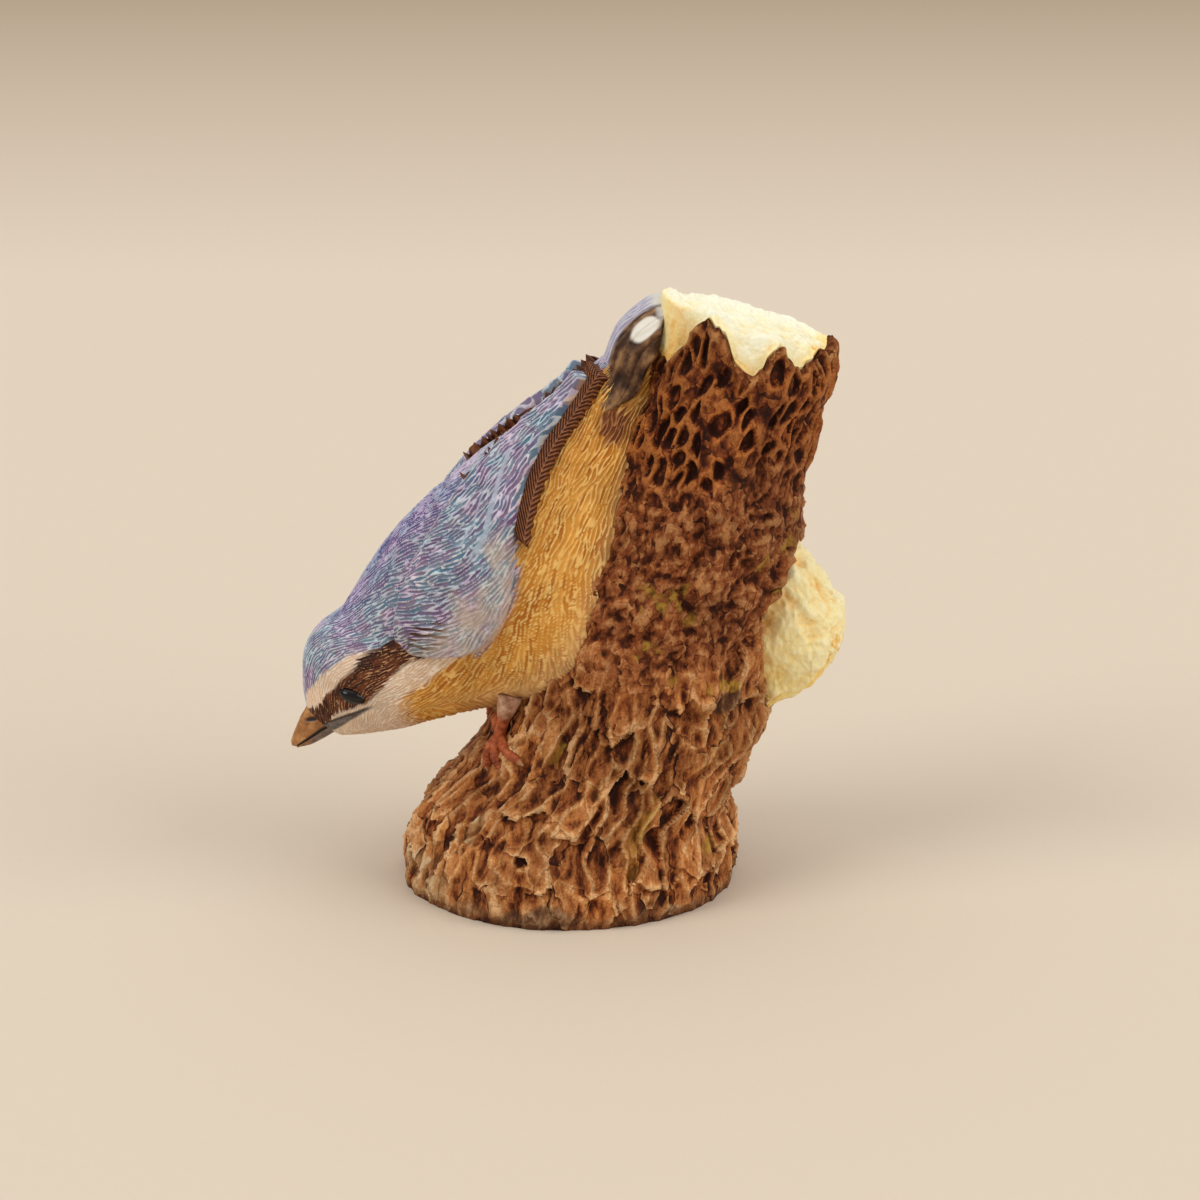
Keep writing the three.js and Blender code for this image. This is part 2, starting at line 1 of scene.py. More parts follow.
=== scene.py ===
# %% [markdown]
# # A nuthatch on a broken stump
#
# This lesson dresses a small painted casting: a nuthatch that clings head-down to a leaning, broken
# tree stump. The real one is cast in resin from a carved master, and then painted by hand. Two things
# make it look real: the small tool marks of the carver, and the paint that settles in them. So every
# surface here is built as a dense grid of points that follows the shape of the solid, is carved by
# code, and carries the depth of its carving along to the paint.

# %% Load the solid model and note its box
import math

import bmesh
import bpy
import numpy as np
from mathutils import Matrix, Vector


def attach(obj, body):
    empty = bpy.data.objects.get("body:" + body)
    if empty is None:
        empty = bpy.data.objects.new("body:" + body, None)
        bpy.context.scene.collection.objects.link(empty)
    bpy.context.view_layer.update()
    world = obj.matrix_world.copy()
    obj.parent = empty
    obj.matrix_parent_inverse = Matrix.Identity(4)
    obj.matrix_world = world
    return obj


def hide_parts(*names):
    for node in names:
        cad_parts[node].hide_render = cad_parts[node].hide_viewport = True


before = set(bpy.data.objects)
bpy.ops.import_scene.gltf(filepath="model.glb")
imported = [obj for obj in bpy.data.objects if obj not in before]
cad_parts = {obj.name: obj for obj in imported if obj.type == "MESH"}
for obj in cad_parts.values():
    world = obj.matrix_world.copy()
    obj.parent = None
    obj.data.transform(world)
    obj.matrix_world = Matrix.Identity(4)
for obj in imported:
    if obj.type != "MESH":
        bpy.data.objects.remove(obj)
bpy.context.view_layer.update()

MILLIMETRE = 0.001

# %% [markdown]
# ## Smooth curves through a few measured rows
#
# The body, the tail and the stump are each described by a short table: at this place along the piece,
# the outline is so wide and so high. A smooth curve through the rows gives every place in between.
# The tables are the same as in the solid model, so the dressed pieces lie where the solids are.


# %% A curve through the rows of a table
def sample(rows, at):
    """A smooth curve through rows of (place, value, ...), read at the places; one array per value."""
    rows = np.asarray(rows, float)
    at = np.asarray(at, float)
    last = len(rows) - 1
    i = np.clip(np.searchsorted(rows[:, 0], at, side="right") - 1, 0, last - 1)
    a, b = rows[i], rows[i + 1]
    before, after = rows[np.maximum(i - 1, 0)], rows[np.minimum(i + 2, last)]
    span = b[..., :1] - a[..., :1]
    t = np.clip((at[..., None] - a[..., :1]) / span, 0, 1)
    slope_a = (b - before) / (b[..., :1] - before[..., :1])
    slope_b = (after - a) / (after[..., :1] - a[..., :1])
    bend = t * t * (3 - 2 * t)
    curve = a * (1 - bend) + b * bend + span * (slope_a * t * (1 - t) ** 2 + slope_b * t * t * (t - 1))
    return np.moveaxis(curve[..., 1:], -1, 0)


def line(points, at):
    """Straight lines through points (place, value), which may be given in any order."""
    places, values = np.array(sorted(points), float).T
    return np.interp(at, places, values)


def smooth(low, high, value):
    """From 0 at low to 1 at high, eased at both ends; low may be the larger of the two."""
    t = np.clip((value - low) / (high - low), 0, 1)
    return t * t * (3 - 2 * t)


# %% [markdown]
# ## Repeatable roughness
#
# A carver's hand is uneven, but a script has to give the same result each time it runs. So the
# unevenness comes from a hash: whole numbers go in, and a number between 0 and 1 comes out that looks
# random but never changes. Smooth noise blends the hashes of the corners round a point. The solid
# model uses the same hash, so its larger lumps lie in the same places.


# %% Noise from a hash of whole numbers
def scatter(i, j, k):
    """A number from 0 to 1 for every three whole numbers."""
    wave = np.sin(i * 127.1 + j * 311.7 + k * 74.7) * 43758.5453
    return wave - np.floor(wave)


SEED_STEP = np.array([37.0, 17.0, 59.0])  # moves the noise to another part of its field


def noise(points, size, seed=0):
    """From -1 to 1, with features of the given size in millimetres."""
    p = points / size + SEED_STEP * seed
    base = np.floor(p)
    f = p - base
    s = f * f * (3 - 2 * f)
    total = 0
    for i in (0, 1):
        for j in (0, 1):
            for k in (0, 1):
                weight = s[..., 0] if i else 1 - s[..., 0]
                weight = weight * (s[..., 1] if j else 1 - s[..., 1])
                weight = weight * (s[..., 2] if k else 1 - s[..., 2])
                total = total + weight * scatter(base[..., 0] + i, base[..., 1] + j, base[..., 2] + k)
    return 2 * total - 1


def crumbs(points, size, octaves=3, seed=0):
    """Noise on noise: each octave is half as large and half as high."""
    total = 0
    for octave in range(octaves):
        total = total + noise(points, size / 2**octave, seed + octave) / 2**octave
    return total


# %% [markdown]
# ## Cells: bark plates and gouge marks
#
# Bark breaks into plates, and a gouge leaves a field of small hollows. Both are cells round scattered
# middle points, where each place belongs to the nearest middle. The difference between the nearest and
# the second nearest distance is 0 on the border of a cell and grows towards its middle, so it draws
# cracks and crests. Round the stump the columns of cells close on themselves, so no seam shows.

# %% Cells on a grid of columns and rows, closed round the stump
CELL_SCATTER = 0.75  # how unevenly the middles are set, as a share of a cell


def cells(column, row, columns_round, seed):
    """For each place: how deep it lies inside its cell, from 0 on the border, the cell's own number,
    and the way from the cell's middle, across and along."""
    base_column, base_row = np.floor(column), np.floor(row)
    nearest = np.full(column.shape, 9.0)
    second = np.full(column.shape, 9.0)
    own = np.zeros(column.shape)
    across_own, along_own = np.zeros(column.shape), np.zeros(column.shape)
    for step_column in (-1, 0, 1):
        for step_row in (-1, 0, 1):
            i = base_column + step_column
            j = base_row + step_row
            name = np.mod(i, columns_round)
            across = column - i - 0.5 - CELL_SCATTER * (scatter(name, j, seed + 1) - 0.5)
            along = row - j - 0.5 - CELL_SCATTER * (scatter(name, j, seed + 2) - 0.5)
            distance = np.hypot(across, along)
            closer = distance < nearest
            second = np.maximum(nearest, np.minimum(second, distance))
            own = np.where(closer, scatter(name, j, seed + 3), own)
            across_own = np.where(closer, across, across_own)
            along_own = np.where(closer, along, along_own)
            nearest = np.minimum(nearest, distance)
    inside = (second - nearest) / (second + nearest)
    return inside, own, across_own, along_own


def tilted(own, across, along):
    """Each cell is a facet that leans its own way."""
    turn = 2 * math.pi * scatter(np.round(own * 997), 3, 5)
    return np.cos(turn) * across + np.sin(turn) * along


# %% [markdown]
# ## From a grid of points to a Blender mesh
#
# Each surface is a grid: rows along the piece, columns across it. The grid turns into four-sided
# faces, and the numbers that the paint needs, such as the depth of the carving, ride along as named
# attributes of the points. A piece is told which solid it stands for, and which body it moves with.


# %% Grids, normals and pieces
def normals_of(grid, closed):
    """Unit normals of a grid of points; closed means that its columns meet round the piece."""
    if closed:
        across = np.roll(grid, -1, axis=1) - np.roll(grid, 1, axis=1)
    else:
        across = np.gradient(grid, axis=1)
    normal = np.cross(across, np.gradient(grid, axis=0))
    return normal / np.maximum(np.linalg.norm(normal, axis=-1, keepdims=True), 1e-9)


def turned_out(normals, outward):
    """The normals as they are, or all reversed if they point inwards on the whole."""
    return normals * np.sign(np.sum(normals * outward, -1).mean())


def grid_faces(rows, columns, closed, first=0):
    """Four point numbers for each face of a grid whose first point has the number first."""
    i, j = np.meshgrid(np.arange(rows - 1), np.arange(columns if closed else columns - 1), indexing="ij")
    k = (j + 1) % columns
    corners = [i * columns + j, i * columns + k, (i + 1) * columns + k, (i + 1) * columns + j]
    return np.stack(corners, -1).reshape(-1, 4) + first


def make_piece(name, points, faces, numbers, finish, replaces, normals=None, turn=True):
    """points in millimetres; faces as rows of 4 point numbers, of which the last two may be the same.

    replaces lists the nodes of the solid model that the piece takes the place of."""
    mesh = bpy.data.meshes.new(name)
    a, b, c = (points[faces[:, i]] - points.mean(axis=0) for i in range(3))
    d = points[faces[:, 3]] - points.mean(axis=0)
    volume = np.sum(a * np.cross(b, c)) + np.sum(a * np.cross(c, d))
    if turn and volume < 0:
        faces = faces[:, [1, 0, 3, 2]]  # the same faces, seen from the other side
    triangles = faces[faces[:, 2] == faces[:, 3]][:, :3]
    quads = faces[faces[:, 2] != faces[:, 3]]
    corners = np.concatenate([quads.ravel(), triangles.ravel()]).astype(np.int32)
    starts = np.concatenate([np.arange(len(quads)) * 4, len(quads) * 4 + np.arange(len(triangles)) * 3])
    mesh.vertices.add(len(points))
    mesh.vertices.foreach_set("co", (points * MILLIMETRE).astype(np.float32).ravel())
    mesh.loops.add(len(corners))
    mesh.loops.foreach_set("vertex_index", corners)
    mesh.polygons.add(len(starts))
    mesh.polygons.foreach_set("loop_start", starts.astype(np.int32))
    mesh.update(calc_edges=True)
    mesh.validate()
    mesh.shade_smooth()
    for label, values in numbers.items():
        attribute = mesh.attributes.new(label, "FLOAT", "POINT")
        attribute.data.foreach_set("value", np.asarray(values, np.float32).ravel())
    if normals is not None:
        mesh.normals_split_custom_set_from_vertices(normals)
    piece = bpy.data.objects.new(name, mesh)
    bpy.context.scene.collection.objects.link(piece)
    piece.data.materials.append(finish)
    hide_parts(*replaces)
    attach(piece, "root")
    print(f"{name}: {len(points)} points, {len(quads) * 2 + len(triangles)} triangles")


def cap_faces(row_start, columns, apex, flip):
    """Triangles from a closed row of points to one point, the apex."""
    j = np.arange(columns)
    k = (j + 1) % columns
    a, b = row_start + j, row_start + k
    if flip:
        a, b = b, a
    tip = np.full(columns, apex)
    return np.stack([a, b, tip, tip], -1)


def with_ends(grid, tip=None):
    """The points of a closed grid, then the tip, or else the middle of its last row, and then the
    middle of its first row."""
    tip = grid[-1].mean(axis=0) if tip is None else tip
    return np.concatenate([grid.reshape(-1, 3), [tip], [grid[0].mean(axis=0)]])


def faces_with_ends(rows, columns, first=0):
    """The faces that belong to with_ends: the grid's own, and a fan at each end."""
    end = first + rows * columns
    fans = [cap_faces(end - columns, columns, end, False), cap_faces(first, columns, end + 1, True)]
    return np.concatenate([grid_faces(rows, columns, True, first), *fans])


# %% [markdown]
# ## Camera, floor and light
#
# The photograph looks down by about 17.5 degrees from a fair distance, so the lens is long. The object
# stands on a seamless sheet of warm beige card. Far behind it the card is painted darker: this is painted
# shade, not a colour of the card. Two broad soft lights from the front left and front right give the two
# faint shadows beside the stump, and a dim sky fills in.

# %% Camera
CAMERA_TARGET = Vector((3.5, 0.0, 30.9)) * MILLIMETRE
CAMERA_DISTANCE = 400 * MILLIMETRE
CAMERA_ELEVATION = math.radians(17.5)
PHOTO_SIZE = 1200
FOCAL_PIXELS = 3746  # focal length in pixels of the photograph
SENSOR = 36  # width in millimetres

camera_data = bpy.data.cameras.new("camera")
camera_data.sensor_width = SENSOR
camera_data.lens = SENSOR * FOCAL_PIXELS / PHOTO_SIZE
camera = bpy.data.objects.new("camera", camera_data)
back = Vector((0, -math.cos(CAMERA_ELEVATION), math.sin(CAMERA_ELEVATION)))
camera.location = CAMERA_TARGET + back * CAMERA_DISTANCE
camera.rotation_euler = (-back).to_track_quat("-Z", "Y").to_euler()
bpy.context.scene.collection.objects.link(camera)
bpy.context.scene.camera = camera
bpy.context.scene.view_settings.view_transform = "Standard"
print("camera at", tuple(round(value, 4) for value in camera.location))


# %% [markdown]
# ## Mixing paint with nodes
#
# A finish is a small network of nodes. These helpers keep each network short enough to read: one makes
# a node and joins its inputs, some reckon with numbers, one mixes two colours, and one turns a number
# into a colour by a ramp. Colours are given as the eye sees them, and turned into the linear values
# that light needs. Grain is fine noise, and facets are the flat cuts of a knife, too small to carve.


# %% Helpers for materials
def paint(red, green, blue):
    """A colour from 0 to 255, as linear light."""
    shares = [value / 255 for value in (red, green, blue)]
    return tuple(s / 12.92 if s <= 0.04045 else ((s + 0.055) / 1.055) ** 2.4 for s in shares) + (1.0,)


def new_finish(name, roughness, shine=0.5):
    finish = bpy.data.materials.new(name)
    finish.use_nodes = True
    shader = finish.node_tree.nodes["Principled BSDF"]
    shader.inputs["Roughness"].default_value = roughness
    shader.inputs["Specular IOR Level"].default_value = shine
    return finish, finish.node_tree, shader


def add(tree, kind, inputs, **settings):
    node = tree.nodes.new(kind)
    for key, value in settings.items():
        setattr(node, key, value)
    for key, value in inputs.items():
        if isinstance(value, bpy.types.NodeSocket):
            tree.links.new(value, node.inputs[key])
        else:
            node.inputs[key].default_value = value
    return node


def number(tree, name):
    return add(tree, "ShaderNodeAttribute", {}, attribute_name=name).outputs["Fac"]


def sums(tree, operation, a, b, c=0.0):
    return add(tree, "ShaderNodeMath", {0: a, 1: b, 2: c}, operation=operation).outputs[0]


def times(tree, a, b):
    return sums(tree, "MULTIPLY", a, b)


def raised(tree, value, field, share):
    """The value plus a share of the field."""
    return sums(tree, "MULTIPLY_ADD", field, share, value)


def uneven(tree, value, field, share):
    """The value, raised and lowered by a share of a field that runs from 0 to 1."""
    return raised(tree, value, sums(tree, "SUBTRACT", field, 0.5), share)


def rise(tree, value, low, high):
    """From 0 at low to 1 at high."""
    return add(tree, "ShaderNodeMapRange", {"Value": value, "From Min": low, "From Max": high}).outputs[0]


def mix(tree, share, a, b, blend="MIX"):
    node = add(tree, "ShaderNodeMix", {0: share, 6: a, 7: b}, data_type="RGBA", blend_type=blend)
    return node.outputs[2]


def tinted(tree, colour, tint):
    """The colour times the tint; a tint of 1 leaves it as it is."""
    return mix(tree, 1.0, colour, tint, "MULTIPLY")


def ramp(tree, value, *stops):
    """stops are (place, colour)."""
    node = add(tree, "ShaderNodeValToRGB", {"Fac": value})
    elements = node.color_ramp.elements
    while len(elements) < len(stops):
        elements.new(0.5)
    for element, (place, colour) in zip(elements, stops):
        element.position = place
        element.color = colour
    return node.outputs["Color"]


def shades(tree, value, *stops):
    """A ramp of paints; stops are (place, red, green, blue), colours from 0 to 255."""
    return ramp(tree, value, *[(place, paint(*colour)) for place, *colour in stops])


def tints(tree, value, *stops):
    """A ramp of tints; stops are (place, red, green, blue), and 1 leaves a colour as it is."""
    return ramp(tree, value, *[(place, (*colour, 1)) for place, *colour in stops])


def grain(tree, scale, detail=3.0, roughness=0.6, stretch=None):
    """Fine noise, fixed to the object; scale counts features per metre."""
    place = add(tree, "ShaderNodeTexCoord", {}).outputs["Object"]
    if stretch:
        place = add(tree, "ShaderNodeMapping", {"Vector": place, "Scale": stretch}).outputs[0]
    inputs = {"Vector": place, "Scale": scale, "Detail": detail, "Roughness": roughness}
    return add(tree, "ShaderNodeTexNoise", inputs).outputs["Fac"]


def vectors(tree, operation, a, b):
    return add(tree, "ShaderNodeVectorMath", {0: a, 1: b}, operation=operation).outputs[0]


MIDDLE_GREY = (0.5, 0.5, 0.5)


def facets(tree, scale, stretch, wobble, reach):
    """Facets, as many per metre as the scale says. Crest is 1 on their borders and falls to 0 over the
    reach, tone differs from one facet to the next, and slope tips each its own way."""
    place = add(tree, "ShaderNodeTexCoord", {}).outputs["Object"]
    inputs = {"Vector": place, "Scale": scale, "Detail": 2.0}
    waves = add(tree, "ShaderNodeTexNoise", inputs).outputs["Color"]
    waves = vectors(tree, "SUBTRACT", waves, MIDDLE_GREY)
    waves = vectors(tree, "MULTIPLY", waves, (wobble / scale,) * 3)
    place = vectors(tree, "ADD", place, waves)
    place = add(tree, "ShaderNodeMapping", {"Vector": place, "Scale": stretch}).outputs[0]
    inputs = {"Vector": place, "Scale": scale}
    facet = add(tree, "ShaderNodeTexVoronoi", inputs).outputs
    apart = add(tree, "ShaderNodeTexVoronoi", inputs, feature="DISTANCE_TO_EDGE").outputs["Distance"]
    lean = vectors(tree, "SUBTRACT", facet["Color"], MIDDLE_GREY)
    inputs = {0: vectors(tree, "SUBTRACT", place, facet["Position"]), 1: lean}
    slope = add(tree, "ShaderNodeVectorMath", inputs, operation="DOT_PRODUCT").outputs["Value"]
    return rise(tree, apart, reach, 0.0), facet["Color"], times(tree, slope, scale)


def coat(tree, shader, colour):
    tree.links.new(colour, shader.inputs["Base Color"])


def bump(tree, shader, height, depth, strength=1.0):
    """Small bumps that only the light sees; depth in millimetres."""
    inputs = {"Height": height, "Distance": depth * MILLIMETRE, "Strength": strength}
    tree.links.new(add(tree, "ShaderNodeBump", inputs).outputs[0], shader.inputs["Normal"])


# %% Floor
FLOOR_NEAR = -900
FLOOR_FAR = 1500
FLOOR_SIDE = 1200
# Painted shade: between these depths behind the stump the card is painted darker.
PAINTED_SHADE_DEPTHS = (0.30, 0.66)  # in metres behind the stump, where the card grows darker

floor_mesh = bpy.data.meshes.new("floor")
corners = [
    (-FLOOR_SIDE, FLOOR_NEAR, 0),
    (FLOOR_SIDE, FLOOR_NEAR, 0),
    (FLOOR_SIDE, FLOOR_FAR, 0),
    (-FLOOR_SIDE, FLOOR_FAR, 0),
]
floor_mesh.from_pydata([Vector(corner) * MILLIMETRE for corner in corners], [], [(0, 1, 2, 3)])
floor = bpy.data.objects.new("floor", floor_mesh)
bpy.context.scene.collection.objects.link(floor)

card, tree, shader = new_finish("beige card with painted shade", 0.85)
place = add(tree, "ShaderNodeTexCoord", {}).outputs["Object"]
depth = add(tree, "ShaderNodeSeparateXYZ", {"Vector": place}).outputs["Y"]
far = rise(tree, depth, *PAINTED_SHADE_DEPTHS)
# The card's own beige, with painted shade that darkens it far behind the stump.
card_colour_and_shade = shades(
    tree,
    far,
    (0.0, 218, 204, 185),
    (0.25, 206, 191, 172),
    (1.0, 170, 151, 128),
)
speckle = add(tree, "ShaderNodeMapRange", {"Value": grain(tree, 900), "To Min": 0.985, "To Max": 1.015})
coat(tree, shader, tinted(tree, card_colour_and_shade, speckle.outputs[0]))
floor.data.materials.append(card)

# %% Lights
WARM_WHITE = (1.0, 0.97, 0.93)
SKY_WHITE = (1.0, 0.97, 0.94, 1.0)
SKY_STRENGTH = 0.42
# Name, direction that it comes from, degrees that it spans (more is softer), and strength
LIGHTS = [
    ("front_left_light", (-0.75, -0.45, 0.8), 34, 1.13),
    ("front_right_light", (0.85, -0.35, 0.62), 44, 1.15),
    ("top_light", (0.05, 0.25, 1.0), 70, 0.76),
]

for name, direction, span, strength in LIGHTS:
    light_data = bpy.data.lights.new(name, "SUN")
    light_data.angle = math.radians(span)
    light_data.energy = strength
    light_data.color = WARM_WHITE
    light = bpy.data.objects.new(name, light_data)
    light.rotation_euler = Vector(direction).to_track_quat("Z", "Y").to_euler()
    bpy.context.scene.collection.objects.link(light)
print("lights:", len(LIGHTS))

sky = bpy.data.worlds.new("sky")
sky.use_nodes = True
backdrop = sky.node_tree.nodes["Background"]
backdrop.inputs["Color"].default_value = SKY_WHITE
backdrop.inputs["Strength"].default_value = SKY_STRENGTH
bpy.context.scene.world = sky

# %% [markdown]
# ## The stump's shape
#
# The stump leans to the right, flares out at its foot and is thinner at the top. At each height the
# table gives its left and right edge and half its depth. The torn upper edge of the bark rises and
# falls round the stump, so a second table gives its height in each direction.

# %% Measurements of the stump, in millimetres
# Height, left edge, right edge and half the depth
STUMP = [
    [0, -18.1, 18.3, 17.7],
    [5, -16.7, 18.0, 16.9],
    [9, -14.9, 17.5, 15.8],
    [13, -10.9, 18.7, 14.6],
    [17.5, -8.3, 20.8, 13.8],
    [30, -3.6, 21.9, 12.5],
    [40, 2.2, 24.4, 11.3],
    [50, 6.3, 26.1, 10.2],
    [57, 8.9, 28.2, 9.6],
    [63, 10.3, 27.6, 9.4],
]
# Degrees from +X, and height of the bark's torn edge
TORN_EDGE = [
    [0, 59.6], [30, 58.8], [60, 59.4], [85, 60.0], [105, 61.4], [125, 61.6], [150, 62.4], [180, 60.4],
    [200, 58.8], [214, 59.2], [226, 62.0], [234, 63.0], [244, 62.8], [253, 62.0], [259, 59.8],
    [268, 58.6], [278, 58.6], [288, 60.2], [294, 60.2], [305, 58.2], [316, 58.8], [341, 59.4],
]
PLATE_COLUMNS = 14  # bark plates round the stump
PLATE_LENGTH = 7.5
PLATE_DEPTH = 1.0
PLATE_STEP = 0.7  # how much one plate stands out more than another
PLATE_LEAN = 30  # height over which the plates lean by one column
BARK_MEAN = 0.6


def stump_point(angle, height, outwards):
    """A place on the plain stump, moved outwards; the angle is in radians from +X."""
    left, right, half_depth = sample(STUMP, height)
    x = (left + right) / 2 + ((right - left) / 2 + outwards) * np.cos(angle)
    return np.stack([x, (half_depth + outwards) * np.sin(angle), height + 0 * angle], -1)


def torn_height(angle):
    rows = [[TORN_EDGE[-1][0] - 360, TORN_EDGE[-1][1]], *TORN_EDGE, [360, TORN_EDGE[0][1]]]
    return sample(rows, np.degrees(np.mod(angle, 2 * math.pi)))[0]


# %% [markdown]
# ## Bark
#
# The carver first divided the bark into large plates, which the solid model has too, and then cut it
# in three ways. Near the top, rows of upright pits were pressed in, with thin reddish ridges between
# them; their dark insides are partly the wash and partly painted shade. The middle is crumbly. Towards
# the foot, large scooped flakes lean into each other, with sharp crests that the paint makes pale, partly
# as painted highlight. Each way is a field of cells, and the three are blended by height.


# %% Relief of the bark
def plate_relief(angle, height):
    column = PLATE_COLUMNS * angle / (2 * math.pi) + height / PLATE_LEAN
    inside, own, _, _ = cells(column, height / PLATE_LENGTH, PLATE_COLUMNS, 0)
    crest = smooth(0, 0.5, inside)
    return PLATE_DEPTH * (crest - BARK_MEAN) + PLATE_STEP * (own - 0.5) * crest


# How many cells of each kind stand round the stump, and how high one is
PIT_COLUMNS = 43
PIT_HEIGHT = 3.1
CRUMB_COLUMNS = 84
CRUMB_HEIGHT = 1.5
FLAKE_COLUMNS = 40
FLAKE_HEIGHT = 6.4
CHIP_COLUMNS = 110
CHIP_HEIGHT = 2.1
# Heights between which one way of carving gives way to the next
PITS_BEGIN = (42.5, 49)
FLAKES_BEGIN = (33, 22)


def bark_relief(angle, height, base):
    """Height of the fine carving in millimetres, each place's own tone, and the shares of pits and
    flakes; base is the place on the plain stump."""
    turn = angle / (2 * math.pi)
    drift, drift_up = noise(base, 9, 11), noise(base, 9, 12)
    ripple, ripple_up = noise(base, 2.4, 13), noise(base, 2.4, 14)
    upper = smooth(*PITS_BEGIN, height + 3.5 * noise(base, 7, 15))
    lower = smooth(*FLAKES_BEGIN, height + 5 * noise(base, 8, 16)) * (1 - upper)
    middle = 1 - upper - lower

    column = turn * PIT_COLUMNS + 0.7 * drift + 0.3 * ripple
    row = height / PIT_HEIGHT + 0.5 * drift_up + 0.22 * ripple_up
    inside, pit_tone, across, along = cells(column, row, PIT_COLUMNS, 20)
    pit_depth = 0.78 * smooth(0.05, 0.6, pit_tone + 0.45 * noise(base, 6, 17))
    pits = 0.28 - pit_depth * smooth(0.1, 0.42, inside) + 0.2 * tilted(pit_tone, across, along)
    pits = pits + 0.18 * crumbs(base * [1, 1, 0.6], 1.4, 3, 18)

    column = turn * CRUMB_COLUMNS + 1.4 * drift + 0.8 * ripple
    row = height / CRUMB_HEIGHT + 0.8 * drift_up + 0.7 * ripple_up
    _, crumb_tone, across, along = cells(column, row, CRUMB_COLUMNS, 30)
    crumb = 0.12 * (crumb_tone - 0.5) + 0.14 * tilted(crumb_tone, across, along)
    crumb = crumb + 0.42 * crumbs(base * [1, 1, 0.8], 2.4, 4, 35) + 0.3 * noise(base, 4.2, 36)
    crumb = crumb + 0.55 * (0.3 - np.abs(crumbs(base * [1, 1, 1.25], 1.9, 3, 37)))

    sway = 2.0 * noise(base * [1, 1, 0.5], 11, 41) + 0.4 * ripple
    column = turn * FLAKE_COLUMNS + sway
    row = height / FLAKE_HEIGHT + 0.8 * noise(base, 7, 42) + 0.3 * ripple_up
    inside, flake_tone, across, along = cells(column, row, FLAKE_COLUMNS, 40)
    flakes = 0.46 * (1 - inside) ** 4 - 0.12 + 0.32 * (flake_tone - 0.5)
    flakes = flakes + 0.72 * tilted(flake_tone, across, along)
    column = turn * CHIP_COLUMNS + 2.2 * sway + 0.7 * ripple
    row = height / CHIP_HEIGHT + 1.6 * noise(base, 5, 45) + 0.6 * ripple_up
    chip_inside, chip_tone, across, along = cells(column, row, CHIP_COLUMNS, 50)
    chips = 0.14 * (1 - chip_inside) ** 3 + 0.2 * tilted(chip_tone, across, along)
    flakes = flakes + 0.45 * chips + 0.18 * crumbs(base * [1, 1, 0.4], 1.3, 3, 46)

    relief = upper * (pits + 0.15 * chips) + middle * crumb + lower * flakes
    tone = upper * pit_tone + middle * crumb_tone + lower * (0.75 * flake_tone + 0.25 * chip_tone)
    return relief, tone, upper, lower


def blur(grid, reach):
    """Mean over a square of grid places, taken twice; the columns close on themselves."""
    for _ in range(2):
        grid = sum(np.roll(grid, step, axis=1) for step in range(-reach, reach + 1)) / (2 * reach + 1)
        padded = np.pad(grid, ((reach, reach), (0, 0)), mode="edge")
        total = np.cumsum(np.pad(padded, ((1, 0), (0, 0))), axis=0)
        grid = (total[2 * reach + 1 :] - total[: -2 * reach - 1]) / (2 * reach + 1)
    return grid


# %% [markdown]
# The paint follows the carving. Dark brown wash runs into the hollows, the body colour is a warm
# brown, and a dry brush leaves pale tan on the crests. The dark hollows and pale crests are also
# painted shade and painted highlight, on top of the shading that the lights give the carving. What
# counts as a crest is what stands above the mean of its surroundings. Pits, crumbs and flakes have a
# range of browns each; the flakes at the foot have the lightest, and a painted light brightens the foot
# further. Grain and knife-cut facets that are too fine to carve go into the colour and the bump; in the
# colour the facets add painted highlights on their crests and painted shade on one side of each facet.
# Yellow specks sit in the middle, where the wood's colour was splashed, and stains lie on top.

# %% Bark paint
bark_paint_and_light, tree, shader = new_finish("bark paint and painted light", 0.62, 0.22)
crest = number(tree, "crest")
tone = number(tree, "tone")
lower = number(tree, "lower")
fibre = grain(tree, 1300, 6, 0.7, stretch=(1, 1, 0.3))
crumble = grain(tree, 950, 6, 0.78)
fine = raised(tree, crumble, sums(tree, "SUBTRACT", fibre, crumble), lower)
gouge_crest, gouge_tone, gouge_slope = facets(tree, 420, (1, 1, 0.45), 0.9, 0.14)
chip_crest, _, chip_slope = facets(tree, 1150, (1, 1, 0.6), 1.0, 0.25)
gouge_crest = times(tree, sums(tree, "POWER", gouge_crest, 2.0), lower)
gouge_edge = times(tree, gouge_crest, gouge_slope)
gouge_slope = times(tree, gouge_slope, lower)
chip_share = raised(tree, 1.0, lower, -0.8)
chip_edge = times(tree, times(tree, chip_crest, chip_slope), chip_share)
chip_slope = times(tree, chip_slope, chip_share)
# The level runs from the hollows to the crests. Low levels get the dark wash and high levels the pale dry
# brush, which is also painted shade in the hollows and painted highlight on the crests. The facet terms add
# painted highlights on facet crests and painted shade on one side of each facet.
level = uneven(tree, crest, fine, 1.6)
for field, weight in (
    (gouge_crest, 0.14),
    (gouge_edge, 1.3),
    (chip_edge, 0.9),
    (chip_slope, 0.5),
    (gouge_slope, 0.4),
):
    level = raised(tree, level, field, weight)
pit_paint = shades(
    tree,
    level,
    (0.05, 54, 22, 9),
    (0.34, 94, 42, 18),
    (0.56, 152, 78, 34),
    (0.9, 206, 130, 66),
)
crumb_paint = shades(
    tree,
    level,
    (0.05, 70, 30, 11),
    (0.32, 132, 68, 32),
    (0.6, 172, 100, 54),
    (0.95, 212, 152, 98),
)
flake_paint = shades(
    tree,
    level,
    (0.0, 52, 20, 6),
    (0.22, 116, 58, 24),
    (0.45, 172, 108, 57),
    (0.78, 204, 144, 88),
    (1.0, 232, 186, 136),
)
colour = mix(tree, number(tree, "upper"), crumb_paint, pit_paint)
colour = mix(tree, lower, colour, flake_paint)
